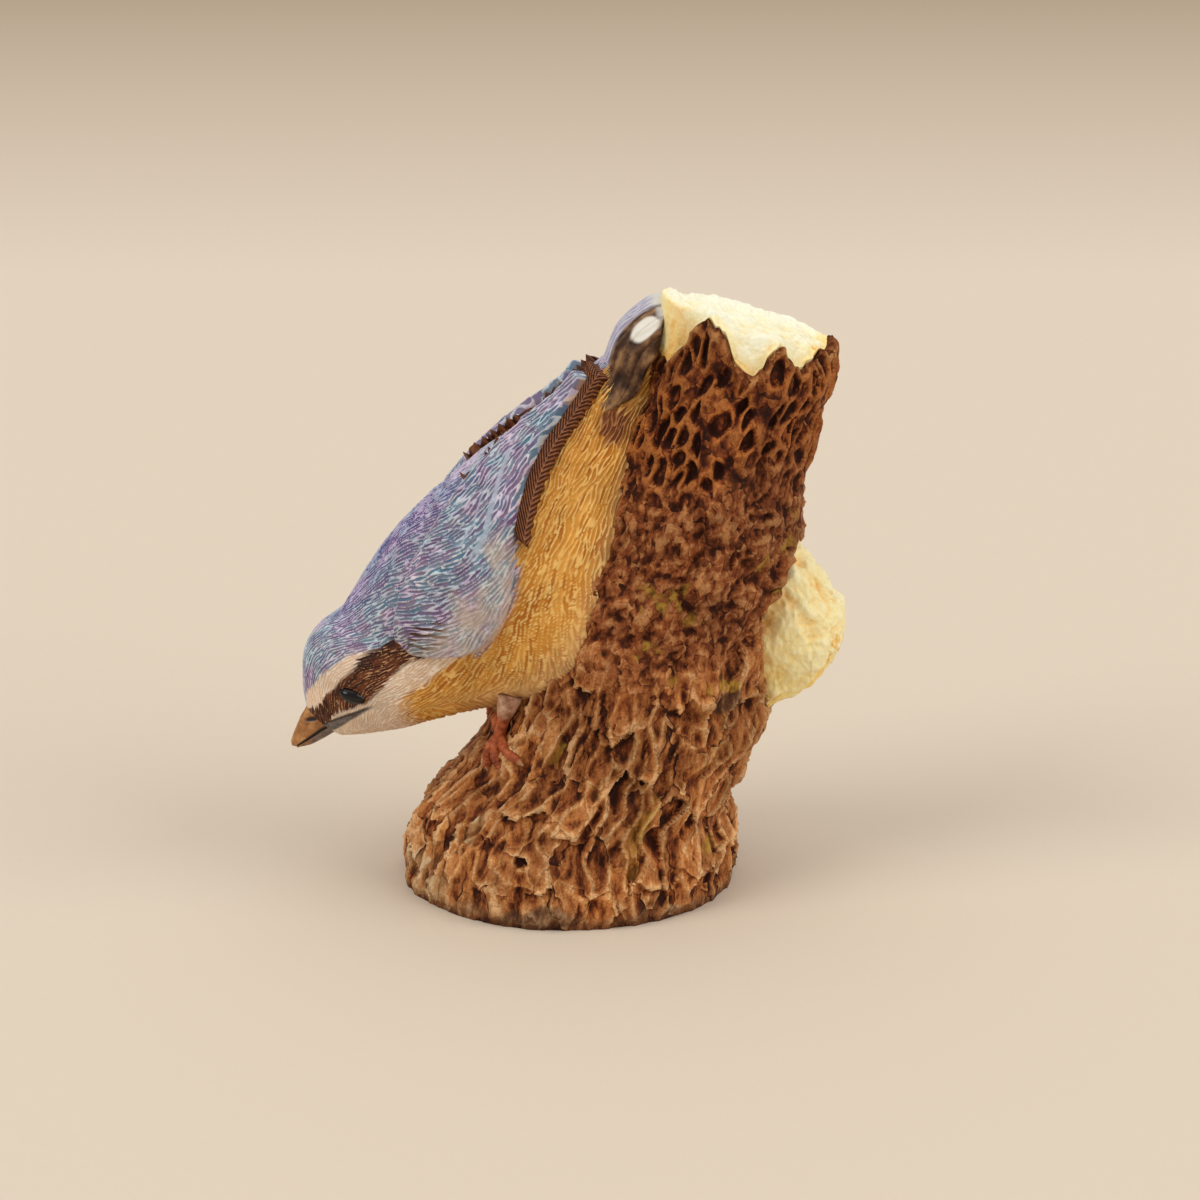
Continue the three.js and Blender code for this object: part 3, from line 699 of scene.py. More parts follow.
patches = tints(
    tree,
    tone,
    (0.05, 0.84, 0.8, 0.76),
    (0.5, 1, 1, 1),
    (0.95, 1.12, 1.06, 1.0),
)
colour = tinted(tree, colour, patches)
# Painted light: the foot of the bark, below about 7 mm and fading out by 17 mm, is tinted lighter, as if
# more light fell on it.
sunlit = mix(tree, number(tree, "foot"), (1, 1, 1, 1), (1.16, 1.18, 1.2, 1))
colour = tinted(tree, colour, sunlit)
gouges = tints(
    tree,
    gouge_tone,
    (0.15, 0.88, 0.8, 0.74),
    (0.5, 1, 1, 1),
    (0.85, 1.1, 1.06, 1.0),
)
colour = mix(tree, lower, colour, tinted(tree, colour, gouges))
speckle = tints(
    tree,
    grain(tree, 3600, 3, 0.6),
    (0.32, 0.72, 0.67, 0.62),
    (0.45, 1, 1, 1),
    (0.66, 1.16, 1.14, 1.1),
)
colour = tinted(tree, colour, speckle)
blotches = tints(
    tree,
    grain(tree, 120, 3),
    (0.34, 0.8, 0.76, 0.72),
    (0.62, 1.1, 1.08, 1.04),
)
colour = tinted(tree, colour, blotches)
# Each stain has its own colour in the hollows, between and on the crests
STAIN_COLOURS = {
    "soot": (paint(50, 28, 14), paint(100, 68, 46), paint(154, 118, 86)),
    "moss": (paint(138, 92, 28), paint(204, 156, 62), paint(232, 194, 108)),
    "dust": (paint(150, 96, 52), paint(214, 168, 114), paint(246, 218, 176)),
}
for stain, (deep, between, high) in STAIN_COLOURS.items():
    stain_paint = ramp(tree, level, (0.1, deep), (0.6, between), (0.95, high))
    colour = mix(tree, number(tree, stain), colour, stain_paint)
specks = times(tree, rise(tree, grain(tree, 230, 3, 0.55), 0.63, 0.68), number(tree, "specks"))
colour = mix(tree, specks, colour, paint(206, 160, 62))
lip_paint = shades(
    tree,
    level,
    (0.1, 112, 52, 20),
    (0.55, 176, 100, 46),
    (0.95, 220, 160, 98),
)
colour = mix(tree, number(tree, "lip"), colour, lip_paint)
coat(tree, shader, colour)
wear = tints(tree, level, (0.2, 0.72, 0.72, 0.72), (0.9, 0.46, 0.46, 0.46))
tree.links.new(wear, shader.inputs["Roughness"])
height = times(tree, fine, raised(tree, 1.0, lower, -0.35))
for field, weight in (
    (gouge_crest, 0.4),
    (chip_slope, 0.3),
    (gouge_slope, 0.7),
    (grain(tree, 3600, 3, 0.6), 0.4),
):
    height = raised(tree, height, field, weight)
bump(tree, shader, height, 0.85)

# %% [markdown]
# The sleeve is one grid that is closed round the stump: rows run from the ground to the torn edge.
# Half of the plates' relief and the fine carving lift it outwards. Round the limb the bark stands up
# in a torn collar. A plain inner face closes it. Soot, moss and dust are laid on as round stains with
# ragged borders, the lowest band of bark above the ground is darkened, and the torn lip is rubbed
# lighter.

# %% Bark sleeve
# Stains by kind: degrees from +X, height, half the width in degrees and half the height
STAINS = {
    "soot": [(256, 1, 14, 1.8), (302, 0.8, 9, 1.4), (236, 0.5, 7, 1.2), (312, 23, 8, 1.4)],
    "moss": [
        (291, 9, 4, 3.4),
        (328, 6.4, 5, 1.2),
        (284, 32.4, 3, 0.8),
        (283, 26, 5, 0.8),
        (313, 24.4, 5, 0.7),
    ],
    "dust": [(208, 3, 12, 2.2), (226, 9, 4, 2)],
}
STAIN_STRENGTH = 0.85
LIMB_HEIGHT = 28.3
COLLAR_HALF = (6.0, 9.4)  # half the width and half the height of the collar round the limb
BARK_THICKNESS = 2.4
INNER_EDGE_DROP = 1.5  # the inner face ends so far below the torn edge
BARK_ROWS = 232
BARK_COLUMNS = 426

angles = np.linspace(0, 2 * math.pi, BARK_COLUMNS, endpoint=False)
share, angle = np.meshgrid(np.linspace(0, 1, BARK_ROWS), angles, indexing="ij")
edge_place = stump_point(angle, 60 + 0 * angle, 0)
ragged = 0.4 * noise(edge_place, 1.5, 61) + 0.55 * np.abs(noise(edge_place, 0.8, 64))
ragged = ragged + 0.2 * noise(edge_place, 0.35, 65) - 0.3
height = share * (torn_height(angle) + ragged)
plain_bark = stump_point(angle, height, 0)
carving, tone, upper, lower = bark_relief(angle, height, plain_bark)
lift = 0.5 * plate_relief(angle, height) + carving

# The collar round the limb, as a ring of torn bark
from_limb = np.hypot(plain_bark[..., 1] / COLLAR_HALF[0], (height - LIMB_HEIGHT) / COLLAR_HALF[1])
from_limb = from_limb + 0.12 * noise(plain_bark, 2.6, 68)
collar = smooth(0.78, 0.95, from_limb) * smooth(1.4, 1.05, from_limb) * smooth(0, 0.3, np.cos(angle))
collar = collar * (0.65 + 0.35 * smooth(24, 32, height))
lift = lift + collar * (0.25 + 1.2 * np.abs(noise(plain_bark, 1.5, 67)))

# Both ends of the sleeve draw in a little
top_end = smooth(0.985, 1.0, share)
foot_end = smooth(0.02, 0.0, share)
lift = lift * (1 - 0.7 * smooth(0.04, 0.0, share)) - 0.3 * top_end - 0.35 * foot_end
# Where the bark stands above or below its surroundings. The paint makes these crests pale and these hollows
# dark: this is the wash and the dry brush, and also painted highlight and painted shade.
above_surroundings = 0.7 * (lift - blur(lift, 2)) / 0.2 + 0.3 * (lift - blur(lift, 8)) / 0.5
crest = 0.5 + 0.46 * np.clip(above_surroundings, -1.2, 1.2)
outside = stump_point(angle, height, lift)
inside_top = stump_point(angles, torn_height(angles) - INNER_EDGE_DROP, -BARK_THICKNESS)
inside_foot = stump_point(angles, 0 * angles, -BARK_THICKNESS)
bark_points = np.concatenate([outside.reshape(-1, 3), inside_top, inside_foot])
specks = smooth(12, 24, height) * smooth(48, 38, height) * smooth(0.62, 0.45, crest)
# Where the painted light of the foot lies.
foot = smooth(17, 7, height)
lip = 0.8 * smooth(1.5, 0.3, height[-1] - height + 0.7 * noise(outside, 1.8, 66))
bark_numbers = {"crest": crest, "tone": tone, "upper": upper, "lower": lower}
bark_numbers |= {"specks": specks, "foot": foot, "lip": lip}

# Stains, and a darker band of bark along the ground, in the soot colour
edge_noise = noise(outside, 2.2, 62) + 0.5 * noise(outside, 0.9, 63)
for stain, spots in STAINS.items():
    share_of = 0 * height
    for degrees, up, half_width, half_height in spots:
        turned = np.mod(np.degrees(angle) - degrees + 180, 360) - 180
        away = np.hypot(turned / half_width, (height - up) / half_height)
        share_of = np.maximum(share_of, smooth(1.15, 0.7, away + 0.5 * edge_noise))
    bark_numbers[stain] = STAIN_STRENGTH * share_of * smooth(-0.4, 0.3, tone - 0.3)
darker_at_ground = 0.6 * smooth(1.5, 0.3, height + 0.5 * edge_noise)
bark_numbers["soot"] = np.maximum(bark_numbers["soot"], darker_at_ground)
bark_numbers = {
    label: np.concatenate([values.ravel(), np.full(2 * BARK_COLUMNS, values.mean())])
    for label, values in bark_numbers.items()
}

# Faces of the outer face, the torn edge, the inner face and the foot
ring = BARK_ROWS * BARK_COLUMNS
j = np.arange(BARK_COLUMNS)
k = (j + 1) % BARK_COLUMNS
rim_row = ring - BARK_COLUMNS
foot_ring = ring + BARK_COLUMNS
bark_faces = [
    grid_faces(BARK_ROWS, BARK_COLUMNS, True),
    np.stack([rim_row + j, rim_row + k, ring + k, ring + j], -1),
    np.stack([ring + j, ring + k, foot_ring + k, foot_ring + j], -1),
    np.stack([foot_ring + j, foot_ring + k, k, j], -1),
]
bark_faces = np.concatenate(bark_faces)
make_piece("bark_sleeve", bark_points, bark_faces, bark_numbers, bark_paint_and_light, ["stump_bark"])

# %% [markdown]
# ## The bird's shape
#
# The bird is measured in its own frame: x runs forward to the bill, y to its left and z to its back.
# It clings head-down, so this frame is turned and tipped onto the stump. Each row of the table gives
# the height of the back, of the widest line and of the belly, half the width, and how square the
# lower half is. Places on the skin are told by x and by the angle from the middle of the back.

# %% Measurements of the bird, in millimetres and degrees
BIRD_SEAT = np.array([-10, 0, 36])
BIRD_PITCH = math.radians(50)
# x, back, widest line, belly, half width, and squareness of the lower half
BODY = [
    [-31, 1.9, 0.2, -2.8, 2.6, 2],
    [-25, 3.4, -0.4, -4.8, 3.8, 2.3],
    [-20, 3.7, -1.2, -7.0, 4.8, 2.6],
    [-14, 5.4, -2.4, -11.2, 6.8, 3],
    [-8, 6.8, -3.4, -15.2, 8.7, 3.6],
    [-1, 7.9, -4.0, -17.6, 9.9, 4.2],
    [4, 8.1, -4.0, -17.0, 9.6, 3.4],
    [8.5, 7.6, -3.2, -14.4, 8.8, 2.4],
    [13, 7.0, -2.2, -11.0, 7.4, 2],
    [17, 7.8, -0.9, -8.2, 6.6, 2],
    [20, 7.0, 0.0, -6.2, 5.6, 2],
    [22.5, 5.2, 0.5, -4.0, 4.2, 2],
    [24.4, 3.1, 0.6, -2.1, 2.7, 2],
]
BELLY_FLARE = 0.16
RUMP_END = -31
NECK = 12.4
FACE = 24.4


def tipped(forward, up, tip):
    """Both measures, taken along and across a direction that is tipped up by so many radians."""
    along = forward * math.cos(tip) + up * math.sin(tip)
    return along, up * math.cos(tip) - forward * math.sin(tip)


def on_stump(p):
    """From the bird's own frame to the stump's."""
    forward, up = tipped(p[..., 0], p[..., 2], BIRD_PITCH)
    return np.stack([-forward, -p[..., 1], up], -1) + BIRD_SEAT


def skin_point(x, angle, lift=0.0):
    """A place on the plain skin, lifted off it; the angle is in radians from the middle of the back."""
    spine, widest, belly, half_width, squareness = sample(BODY, x)
    cosine, sine = np.cos(angle), np.sin(angle)
    height = np.where(cosine > 0, spine - widest, widest - belly)
    power = np.where(cosine > 0, 2.0, squareness)
    round_off = (np.abs(cosine) ** power + np.abs(sine) ** power) ** (-1 / power)
    flare = 1 + BELLY_FLARE * (power / 2 - 1) * round_off * np.abs(cosine)
    out_y, out_z = height * sine, half_width * cosine
    length = np.hypot(out_y, out_z)
    y = half_width * sine * round_off * flare + lift * out_y / length
    z = widest + height * cosine * round_off + lift * out_z / length
    return np.stack([x + 0 * angle, y, z], -1)


# %% [markdown]
# ## The lay of the feathers
#
# On the real bird each feather is one stroke of a small gouge: a long hollow with a thin ridge left on
# each side. The strokes lie the way feathers lie, so their direction is read from the photograph at
# some places and blended in between. Then strokes are laid down one by one, at random, but never so
# close that they would cover each other. Each place of the skin belongs to the stroke whose middle is
# nearest, measured in that stroke's own length and width.

# %% Where the strokes point and how large they are
# x, degrees from the back, and turn of the stroke from the body's axis towards the belly, in degrees
LAY = [
    (-30, 60, -5), (-22, 0, 0), (-15, 72, -28), (-14, 20, -8), (-9, 50, -18), (-9, 88, -36),
    (-10, 130, -40), (-3, 25, 5), (-3.7, 62, -8), (-4, 82, -12), (-3, 108, -52), (-0.3, 80, -14),
    (0, 93, -20), (0.4, 51, 44), (0.7, 30, 24), (0, 125, -56), (2.3, 80, 24), (4, 36, 38),
    (4, 20, 14), (4, 106, -44), (2.9, 62, 50), (5.6, 72, 48), (7, 112, 10), (8.4, 62, 42),
    (9, 125, 22), (11, 34, 22), (13, 100, 12), (15, 53, 30), (16, 20, 12), (16, 120, 10),
    (19, 35, 22), (20, 55, 2), (21, 110, 0),
]
LAY_REACH = 2.4  # in millimetres, of each reading
SKIN_RADIUS = 8.5  # turns degrees into rough millimetres round the body


def lay_of(x, degrees):
    """Turn of a stroke in radians, blended from the readings near it."""
    weight_sum = 1e-9
    turn_sum = 0
    for place, round_place, turn in LAY:
        apart = np.hypot(x - place, np.radians(np.abs(degrees) - round_place) * SKIN_RADIUS)
        weight = np.exp(-((apart / LAY_REACH) ** 2) / 2) + 1e-6 / (1 + apart**2)
        weight_sum = weight_sum + weight
        turn_sum = turn_sum + weight * turn
    return np.radians(turn_sum / weight_sum)


# Length and width of a stroke in millimetres, and what the belly adds
BODY_STROKE = (2.4, 0.36)
HEAD_STROKE = (1.9, 0.3)
BELLY_EXTRA = (0.5, 0.06)


def stroke_size(x, degrees):
    head = smooth(9, 15, x)
    belly = smooth(88, 100, np.abs(degrees)) * (1 - head)
    sizes = zip(BODY_STROKE, HEAD_STROKE, BELLY_EXTRA)
    return [on_body * (1 - head) + on_head * head + extra * belly for on_body, on_head, extra in sizes]


# %% Laying the strokes over the whole bird
SKIN_X = np.concatenate([np.linspace(RUMP_END, NECK, 285), np.linspace(NECK, FACE, 112)[1:]])
NECK_ROW = 284
LEFT_COLUMNS = 185  # the side that the photograph shows is carved finest
UNDER_COLUMNS = 36
RIGHT_COLUMNS = 125
SHOULDER_ANGLE = 128  # in degrees: below it the skin lies against the bark

side = math.radians(SHOULDER_ANGLE)
skin_angles = np.concatenate(
    [
        np.linspace(-side, 0, RIGHT_COLUMNS, endpoint=False),
        np.linspace(0, side, LEFT_COLUMNS, endpoint=False),
        np.linspace(side, 2 * math.pi - side, UNDER_COLUMNS, endpoint=False),
    ]
)


def meridian(x):
    """Way along the skin from x = 0, so that strokes stay their size where the face curves in."""
    places = np.linspace(-40, 26, 1321)
    spine, _, belly, _, _ = sample(BODY, places)
    radius = (spine - belly) / 2
    steps = np.hypot(np.diff(places), np.diff(radius))
    way = np.concatenate([[0], np.cumsum(steps)])
    return np.interp(x, places, way - np.interp(0, places, way))


def round_way(x, angle):
    """Way round the skin from the middle of the back, in millimetres, left side positive."""
    turns = np.linspace(0, math.pi, 181)
    places = np.linspace(-36, 25, 123)
    grid_x, grid_turn = np.meshgrid(places, turns, indexing="ij")
    ring = skin_point(grid_x, grid_turn)
    steps = np.linalg.norm(np.diff(ring, axis=1), axis=-1)
    table = np.concatenate([np.zeros((len(places), 1)), np.cumsum(steps, axis=1)], axis=1)
    folded = np.abs(np.mod(angle + math.pi, 2 * math.pi) - math.pi)
    row = np.clip((x - places[0]) / (places[1] - places[0]), 0, len(places) - 1.001)
    column = np.clip(folded / (turns[1] - turns[0]), 0, len(turns) - 1.001)
    i, j = row.astype(int), column.astype(int)
    a, b = row - i, column - j
    way = (table[i, j] * (1 - b) + table[i, j + 1] * b) * (1 - a)
    way = way + (table[i + 1, j] * (1 - b) + table[i + 1, j + 1] * b) * a
    return way * np.sign(np.mod(angle + math.pi, 2 * math.pi) - math.pi + 1e-9)


def lay_strokes(places_x, places_degrees, size_of, turn_of, closeness, hand):
    """Keeps each place that is far enough from all kept ones; returns rows of u and v, which are the
    ways along and round the skin, then turn, length, width, x and degrees."""
    length, width = size_of(places_x, places_degrees)
    turn = turn_of(places_x, places_degrees) * np.sign(places_degrees)
    turn = turn + hand.normal(0, HAND_SWAY, turn.shape)
    u = meridian(places_x)
    v = round_way(places_x, np.radians(places_degrees))
    kept_u, kept_v = np.empty(len(u)), np.empty(len(u))
    kept = []
    for i in range(len(u)):
        count = len(kept)
        du, dv = kept_u[:count] - u[i], kept_v[:count] - v[i]
        along = (du * math.cos(turn[i]) - dv * math.sin(turn[i])) / length[i]
        across = (du * math.sin(turn[i]) + dv * math.cos(turn[i])) / width[i]
        if count and np.min(along**2 + across**2) < closeness**2:
            continue
        kept_u[count], kept_v[count] = u[i], v[i]
        kept.append(i)
    rows = np.array(kept)
    return np.stack([u, v, turn, length, width, places_x, places_degrees], -1)[rows]


def nearest_strokes(u, v, strokes, reach=4.4, rows_at_once=6):
    """For each place: how deep it lies inside its stroke, the stroke's number, and whether the next
    one lies beside it (1) or before or behind it (0)."""
    shape = u.shape
    inside, sideways = np.empty(shape), np.empty(shape)
    own = np.empty(shape, int)
    for start in range(0, shape[0], rows_at_once):
        block = slice(start, start + rows_at_once)
        size = inside[block].shape
        bu, bv = u[block].ravel()[:, None], v[block].ravel()[:, None]
        near = np.flatnonzero((strokes[:, 0] > bu.min() - reach) & (strokes[:, 0] < bu.max() + reach))
        su, sv, turn, length, width = strokes[near, :5].astype(np.float32).T
        du, dv = (bu - su).astype(np.float32), (bv - sv).astype(np.float32)
        along = (du * np.cos(turn) - dv * np.sin(turn)) / length
        across = (du * np.sin(turn) + dv * np.cos(turn)) / width
        square = along**2 + across**2
        every = np.arange(len(square))
        first = np.argmin(square, axis=1)
        nearest = np.sqrt(square[every, first])
        square[every, first] = 99
        next_one = np.argmin(square, axis=1)
        second = np.sqrt(square[every, next_one])
        along_apart = np.abs(along[every, next_one] - along[every, first])
        across_apart = np.abs(across[every, next_one] - across[every, first])
        inside[block] = ((second - nearest) / (second + nearest)).reshape(size)
        sideways[block] = (across_apart / np.hypot(along_apart, across_apart)).reshape(size)
        own[block] = near[first].reshape(size)
    return inside, own, sideways


TRIES = 70000
CLOSENESS = 0.74  # how near strokes may lie, as a share of their size
HAND_SWAY = 0.09  # in radians

hand = np.random.default_rng(3)
try_x = hand.uniform(RUMP_END - 1, FACE + 0.5, TRIES)
try_degrees = hand.uniform(-179, 179, TRIES)
STROKES = lay_strokes(try_x, try_degrees, stroke_size, lay_of, CLOSENESS, hand)
print("strokes on the bird:", len(STROKES))

# %% [markdown]
# ## Where each colour of the plumage lies
#
# A nuthatch is slate blue above and orange buff below, with a white cheek, a pale brow and a dark
# stripe through the eye. Each border is a line of readings: at this x, so many degrees from the back.
# A brush follows the feathers, so each stroke is mostly painted as its own middle says. This breaks
# the borders up into feather tips. Beside the bill the brush is finer, and the slate grey of the
# lower bill runs back on the face in a corner with a dark line along its top.

# %% Borders of the colours, as (x, degrees from the back)
BLUE_EDGE = [
    (-31, 44), (-24, 36), (-20, 42), (-15, 53), (-10, 66), (-6, 78), (-3.9, 88),
    (-1.7, 93), (1.1, 96), (3.8, 98), (5.6, 99), (6.4, 95), (8.5, 88), (10.4, 81),
    (13, 62), (15.4, 55), (19.2, 52), (21.4, 47), (23.5, 30), (24.4, 20),
]
STRIPE_TOP = [
    (5.3, 80), (6.7, 73), (7.8, 69), (8.9, 66), (10.4, 63), (12.3, 62), (13.9, 60),
    (15.4, 62), (16.8, 65.5), (20.2, 67), (22.2, 65), (23.2, 60), (24.4, 30),
]
STRIPE_BOTTOM = [
    (5.3, 80), (6.2, 82), (7.8, 85), (10.0, 86), (11.3, 81), (12.7, 81), (14.6, 85),
    (16.6, 89), (18.5, 93), (20.7, 90), (21.6, 87), (23.0, 91), (24.4, 93),
]
# Where the white of the cheek and throat turns to buff, as (degrees, x)
BUFF_START = [(60, 11), (85, 7), (95, 6.4), (98, 10.1), (101, 13.1), (104, 14.8), (122, 16.5), (180, 18)]
# The slate-grey corner of the bill on the face, as (x, degrees)
GAPE_TOP = [(18.2, 98.5), (20.3, 97), (21.7, 95.5), (23.0, 93), (24.4, 89)]
GAPE_BOTTOM = [(18.2, 99), (20.3, 101.5), (21.6, 104), (23.0, 109), (24.4, 116)]
GAPE_BEGINS = (17.8, 19.4)
CHESTNUT_PLACE = (-21.6, 96)
CHESTNUT_REACH = 2.0


def plumage_of(x, degrees):
    """Shares of blue, dark stripe, white and chestnut; the rest is orange buff."""
    round_place = np.abs(degrees)
    blue = 1 - smooth(-2.5, 2.5, round_place - line(BLUE_EDGE, x))
    stripe = smooth(-1.5, 1.5, round_place - line(STRIPE_TOP, x))
    stripe = stripe * smooth(-1.5, 1.5, line(STRIPE_BOTTOM, x) - round_place) * smooth(5.0, 6.0, x)
    white = smooth(-0.8, 2.2, x - line(BUFF_START, round_place)) * smooth(4.5, 7, x)
    apart = np.hypot(x - CHESTNUT_PLACE[0], np.radians(round_place - CHESTNUT_PLACE[1]) * 5.5)
    chestnut = 1 - smooth(0.6 * CHESTNUT_REACH, 1.3 * CHESTNUT_REACH, apart)
    return {"blue": blue, "stripe": stripe, "white": white, "chestnut": chestnut}


STROKE_HOLD = 0.62  # how far a place is painted as the middle of its stroke
FACE_HOLD = 0.28  # the same beside the bill, where the borders are painted with a finer brush
FACE_BEGINS = (16.5, 20)


def carve_feathers(x, degrees):
    """Depth of the gouge marks and all numbers for the paint, on the bird's skin."""
    round_place = np.abs(degrees)
    place = skin_point(x, np.radians(degrees))
    u = meridian(x) + 0.26 * noise(place, 1.6, 72)
    v = round_way(x, np.radians(degrees)) + 0.19 * noise(place, 1.4, 73)
    inside, own, sideways = nearest_strokes(u, v, STROKES)
    ridge = (1 - smooth(0.04, 0.56, inside)) * (0.15 + 0.85 * smooth(0.35, 0.75, sideways))
    ridge = ridge * (0.92 + 0.3 * noise(place, 1.4, 74))
    tone = np.clip(scatter(own, 3, 7) + 0.35 * noise(place, 3.5, 75), 0, 1)

    hold = STROKE_HOLD + (FACE_HOLD - STROKE_HOLD) * smooth(*FACE_BEGINS, x)
    middle_x = x + (STROKES[own, 5] - x) * hold
    middle_degrees = degrees + (STROKES[own, 6] - degrees) * hold
    numbers = {"ridge": ridge, "tone": tone, **plumage_of(middle_x, middle_degrees)}
    numbers["stripe"] = numbers["stripe"] * smooth(-0.3, 0.0, tone - 0.75 * smooth(10, 6.5, x))
    numbers["violet"] = smooth(44, 8, round_place) * smooth(-10, -2, x) * smooth(17, 12, x)
    numbers["pale"] = smooth(112, 134, round_place) * smooth(16, 6, x)

    gape_top, gape_bottom = line(GAPE_TOP, x), line(GAPE_BOTTOM, x)
    on_face = smooth(*GAPE_BEGINS, x)
    gape = smooth(-2, 1, round_place - gape_top) * smooth(-2, 1, gape_bottom - round_place)
    numbers["gape"] = gape * on_face
    numbers["gape_line"] = smooth(2.6, 1.0, np.abs(round_place - gape_top)) * on_face
    return numbers


# %% [markdown]
# ## Plumage paint
#
# The painter laid a dark colour into the gouge marks and then drew a nearly dry, pale brush over the
# ridges. So each kind of plumage has a colour for the hollow, which changes a little from stroke to
# stroke, and a pale colour for the ridge. One network mixes all kinds by the shares found above, and
# the head, the body and the wings share it.

# %% The paint of the plumage


def plumage_colour(tree):
    tone = number(tree, "tone")
    violet = number(tree, "violet")
    rub = uneven(tree, number(tree, "ridge"), grain(tree, 1700, 3), 0.9)
    brushed = rise(tree, rub, 0.24, 0.66)

    # Slate blue, which is more violet on the nape, with hues and pale dabs of its own
    hollow = shades(
        tree,
        tone,
        (0.0, 96, 118, 142),
        (0.25, 128, 142, 158),
        (0.5, 112, 92, 128),
        (0.75, 136, 128, 148),
        (1.0, 96, 126, 150),
    )
    violet_hollow = shades(tree, tone, (0.0, 80, 70, 124), (0.5, 108, 84, 138), (1.0, 88, 96, 146))
    hollow = mix(tree, violet, hollow, violet_hollow)
    ridge = shades(tree, tone, (0.1, 204, 212, 221), (0.5, 190, 190, 206), (0.9, 212, 212, 216))
    ridge = mix(tree, times(tree, violet, 0.5), ridge, paint(166, 162, 202))
    hues = grain(tree, 330, 2, 0.5)
    hues = tints(tree, hues, (0.42, 0.9, 1.04, 1.05), (0.5, 1, 1, 1), (0.58, 1.08, 0.93, 1.03))
    blue = tinted(tree, mix(tree, brushed, hollow, ridge), hues)
    dabs = grain(tree, 620, 3, 0.55)
    dabs = tints(tree, dabs, (0.36, 0.82, 0.78, 0.86), (0.46, 1, 1, 1), (0.6, 1.1, 1.11, 1.1))
    blue = mix(tree, 0.8, blue, dabs, "MULTIPLY")

    # Orange buff, which is paler under the belly
    hollow = shades(tree, tone, (0.0, 184, 110, 24), (0.5, 208, 140, 48), (1.0, 222, 160, 70))
    ridge = shades(tree, tone, (0.0, 242, 200, 122), (1.0, 236, 184, 98))
    colour = mix(tree, brushed, hollow, ridge)
    colour = mix(tree, times(tree, number(tree, "pale"), 0.65), colour, paint(220, 184, 134))

    # White, the dark stripe and the chestnut spot
    hollow = shades(tree, tone, (0.0, 216, 184, 154), (1.0, 228, 204, 178))
    white = mix(tree, brushed, hollow, paint(246, 230, 212))
    hollow = shades(tree, tone, (0.2, 52, 21, 9), (0.6, 76, 36, 17), (1.0, 108, 56, 28))
    stripe = mix(tree, rise(tree, rub, 0.62, 0.86), hollow, paint(196, 150, 108))
    chestnut = mix(tree, brushed, paint(124, 70, 36), paint(176, 118, 72))

    layers = {"chestnut": chestnut, "white": white, "blue": blue, "stripe": stripe}
    layers["gape"] = shades(tree, grain(tree, 900, 3), (0.35, 92, 82, 78), (0.65, 144, 134, 128))
    for layer, layer_colour in layers.items():
        colour = mix(tree, number(tree, layer), colour, layer_colour)
    colour = mix(tree, times(tree, number(tree, "gape_line"), 0.8), colour, paint(52, 38, 32))
    cloud = tints(tree, grain(tree, 240, 2), (0.3, 0.88, 0.87, 0.88), (0.68, 1.08, 1.07, 1.06))
    return tinted(tree, colour, cloud)


plumage_paint, tree, shader = new_finish("plumage paint", 0.55, 0.25)
coat(tree, shader, plumage_colour(tree))
bump(tree, shader, grain(tree, 3200, 3), 0.1, 0.6)

# %% [markdown]
# ## Body and head
#
# Body and head are carved as one skin and then parted at the neck, as in the solid model. Both keep
# the normals of the whole skin, so no seam shows where they meet.

# %% Skin of body and head
GOUGE_DEPTH = 0.2
LUMP_HEIGHT = 0.16

skin_x, skin_angle = np.meshgrid(SKIN_X, skin_angles, indexing="ij")
skin_degrees = np.degrees(np.mod(skin_angle + math.pi, 2 * math.pi) - math.pi)
skin_numbers = carve_feathers(skin_x, skin_degrees)
soft_cheek = 1 - 0.45 * skin_numbers["white"]
relief = GOUGE_DEPTH * (skin_numbers["ridge"] - 0.5) * soft_cheek
relief = relief + LUMP_HEIGHT * noise(skin_point(skin_x, skin_angle), 2.4, 71)
skin = skin_point(skin_x, skin_angle, relief)
skin_normals = on_stump(normals_of(skin, True)) - BIRD_SEAT
skin = on_stump(skin)
skin_normals = turned_out(skin_normals, skin - skin.mean(axis=1, keepdims=True))


def skin_piece(name, first, last, solid, end_row, flip):
    """The skin from row first to row last, closed by a fan at its end_row, which is 0 or -1."""
    rows = slice(first, last + 1)
    count, columns = skin[rows].shape[:2]
    points = np.concatenate([skin[rows].reshape(-1, 3), [skin[rows][end_row].mean(axis=0)]])
    end_normal = skin_normals[rows][end_row].mean(axis=0)
    end_normal = end_normal / np.linalg.norm(end_normal)
    normals = np.concatenate([skin_normals[rows].reshape(-1, 3), [end_normal]])
    start = 0 if end_row == 0 else (count - 1) * columns
    fan = cap_faces(start, columns, count * columns, flip)
    faces = np.concatenate([grid_faces(count, columns, True), fan])
    numbers = {
        label: np.append(values[rows].ravel(), values[rows][end_row, 0])
        for label, values in skin_numbers.items()
    }
    make_piece(name, points, faces, numbers, plumage_paint, [solid], normals)


skin_piece("body_plumage", 0, NECK_ROW, "bird_body", 0, True)
skin_piece("head_plumage", NECK_ROW, len(SKIN_X) - 1, "bird_head", -1, False)

# %% [markdown]
# ## Folded wings
#
# Each wing is a low shield on the side of the back: smooth where it grows out of the mantle, and with
# a clear step at its lower edge, above the orange flank. It is the same skin lifted by up to 2 mm, so
# its gouge marks run on from the back. Its rows of coverts rise towards their free edges. The long
# coverts have two smooth shafts, a thin pale wash lies along the lower edge towards the shoulder, and
# dark bars at the shoulder end the eye stripe.

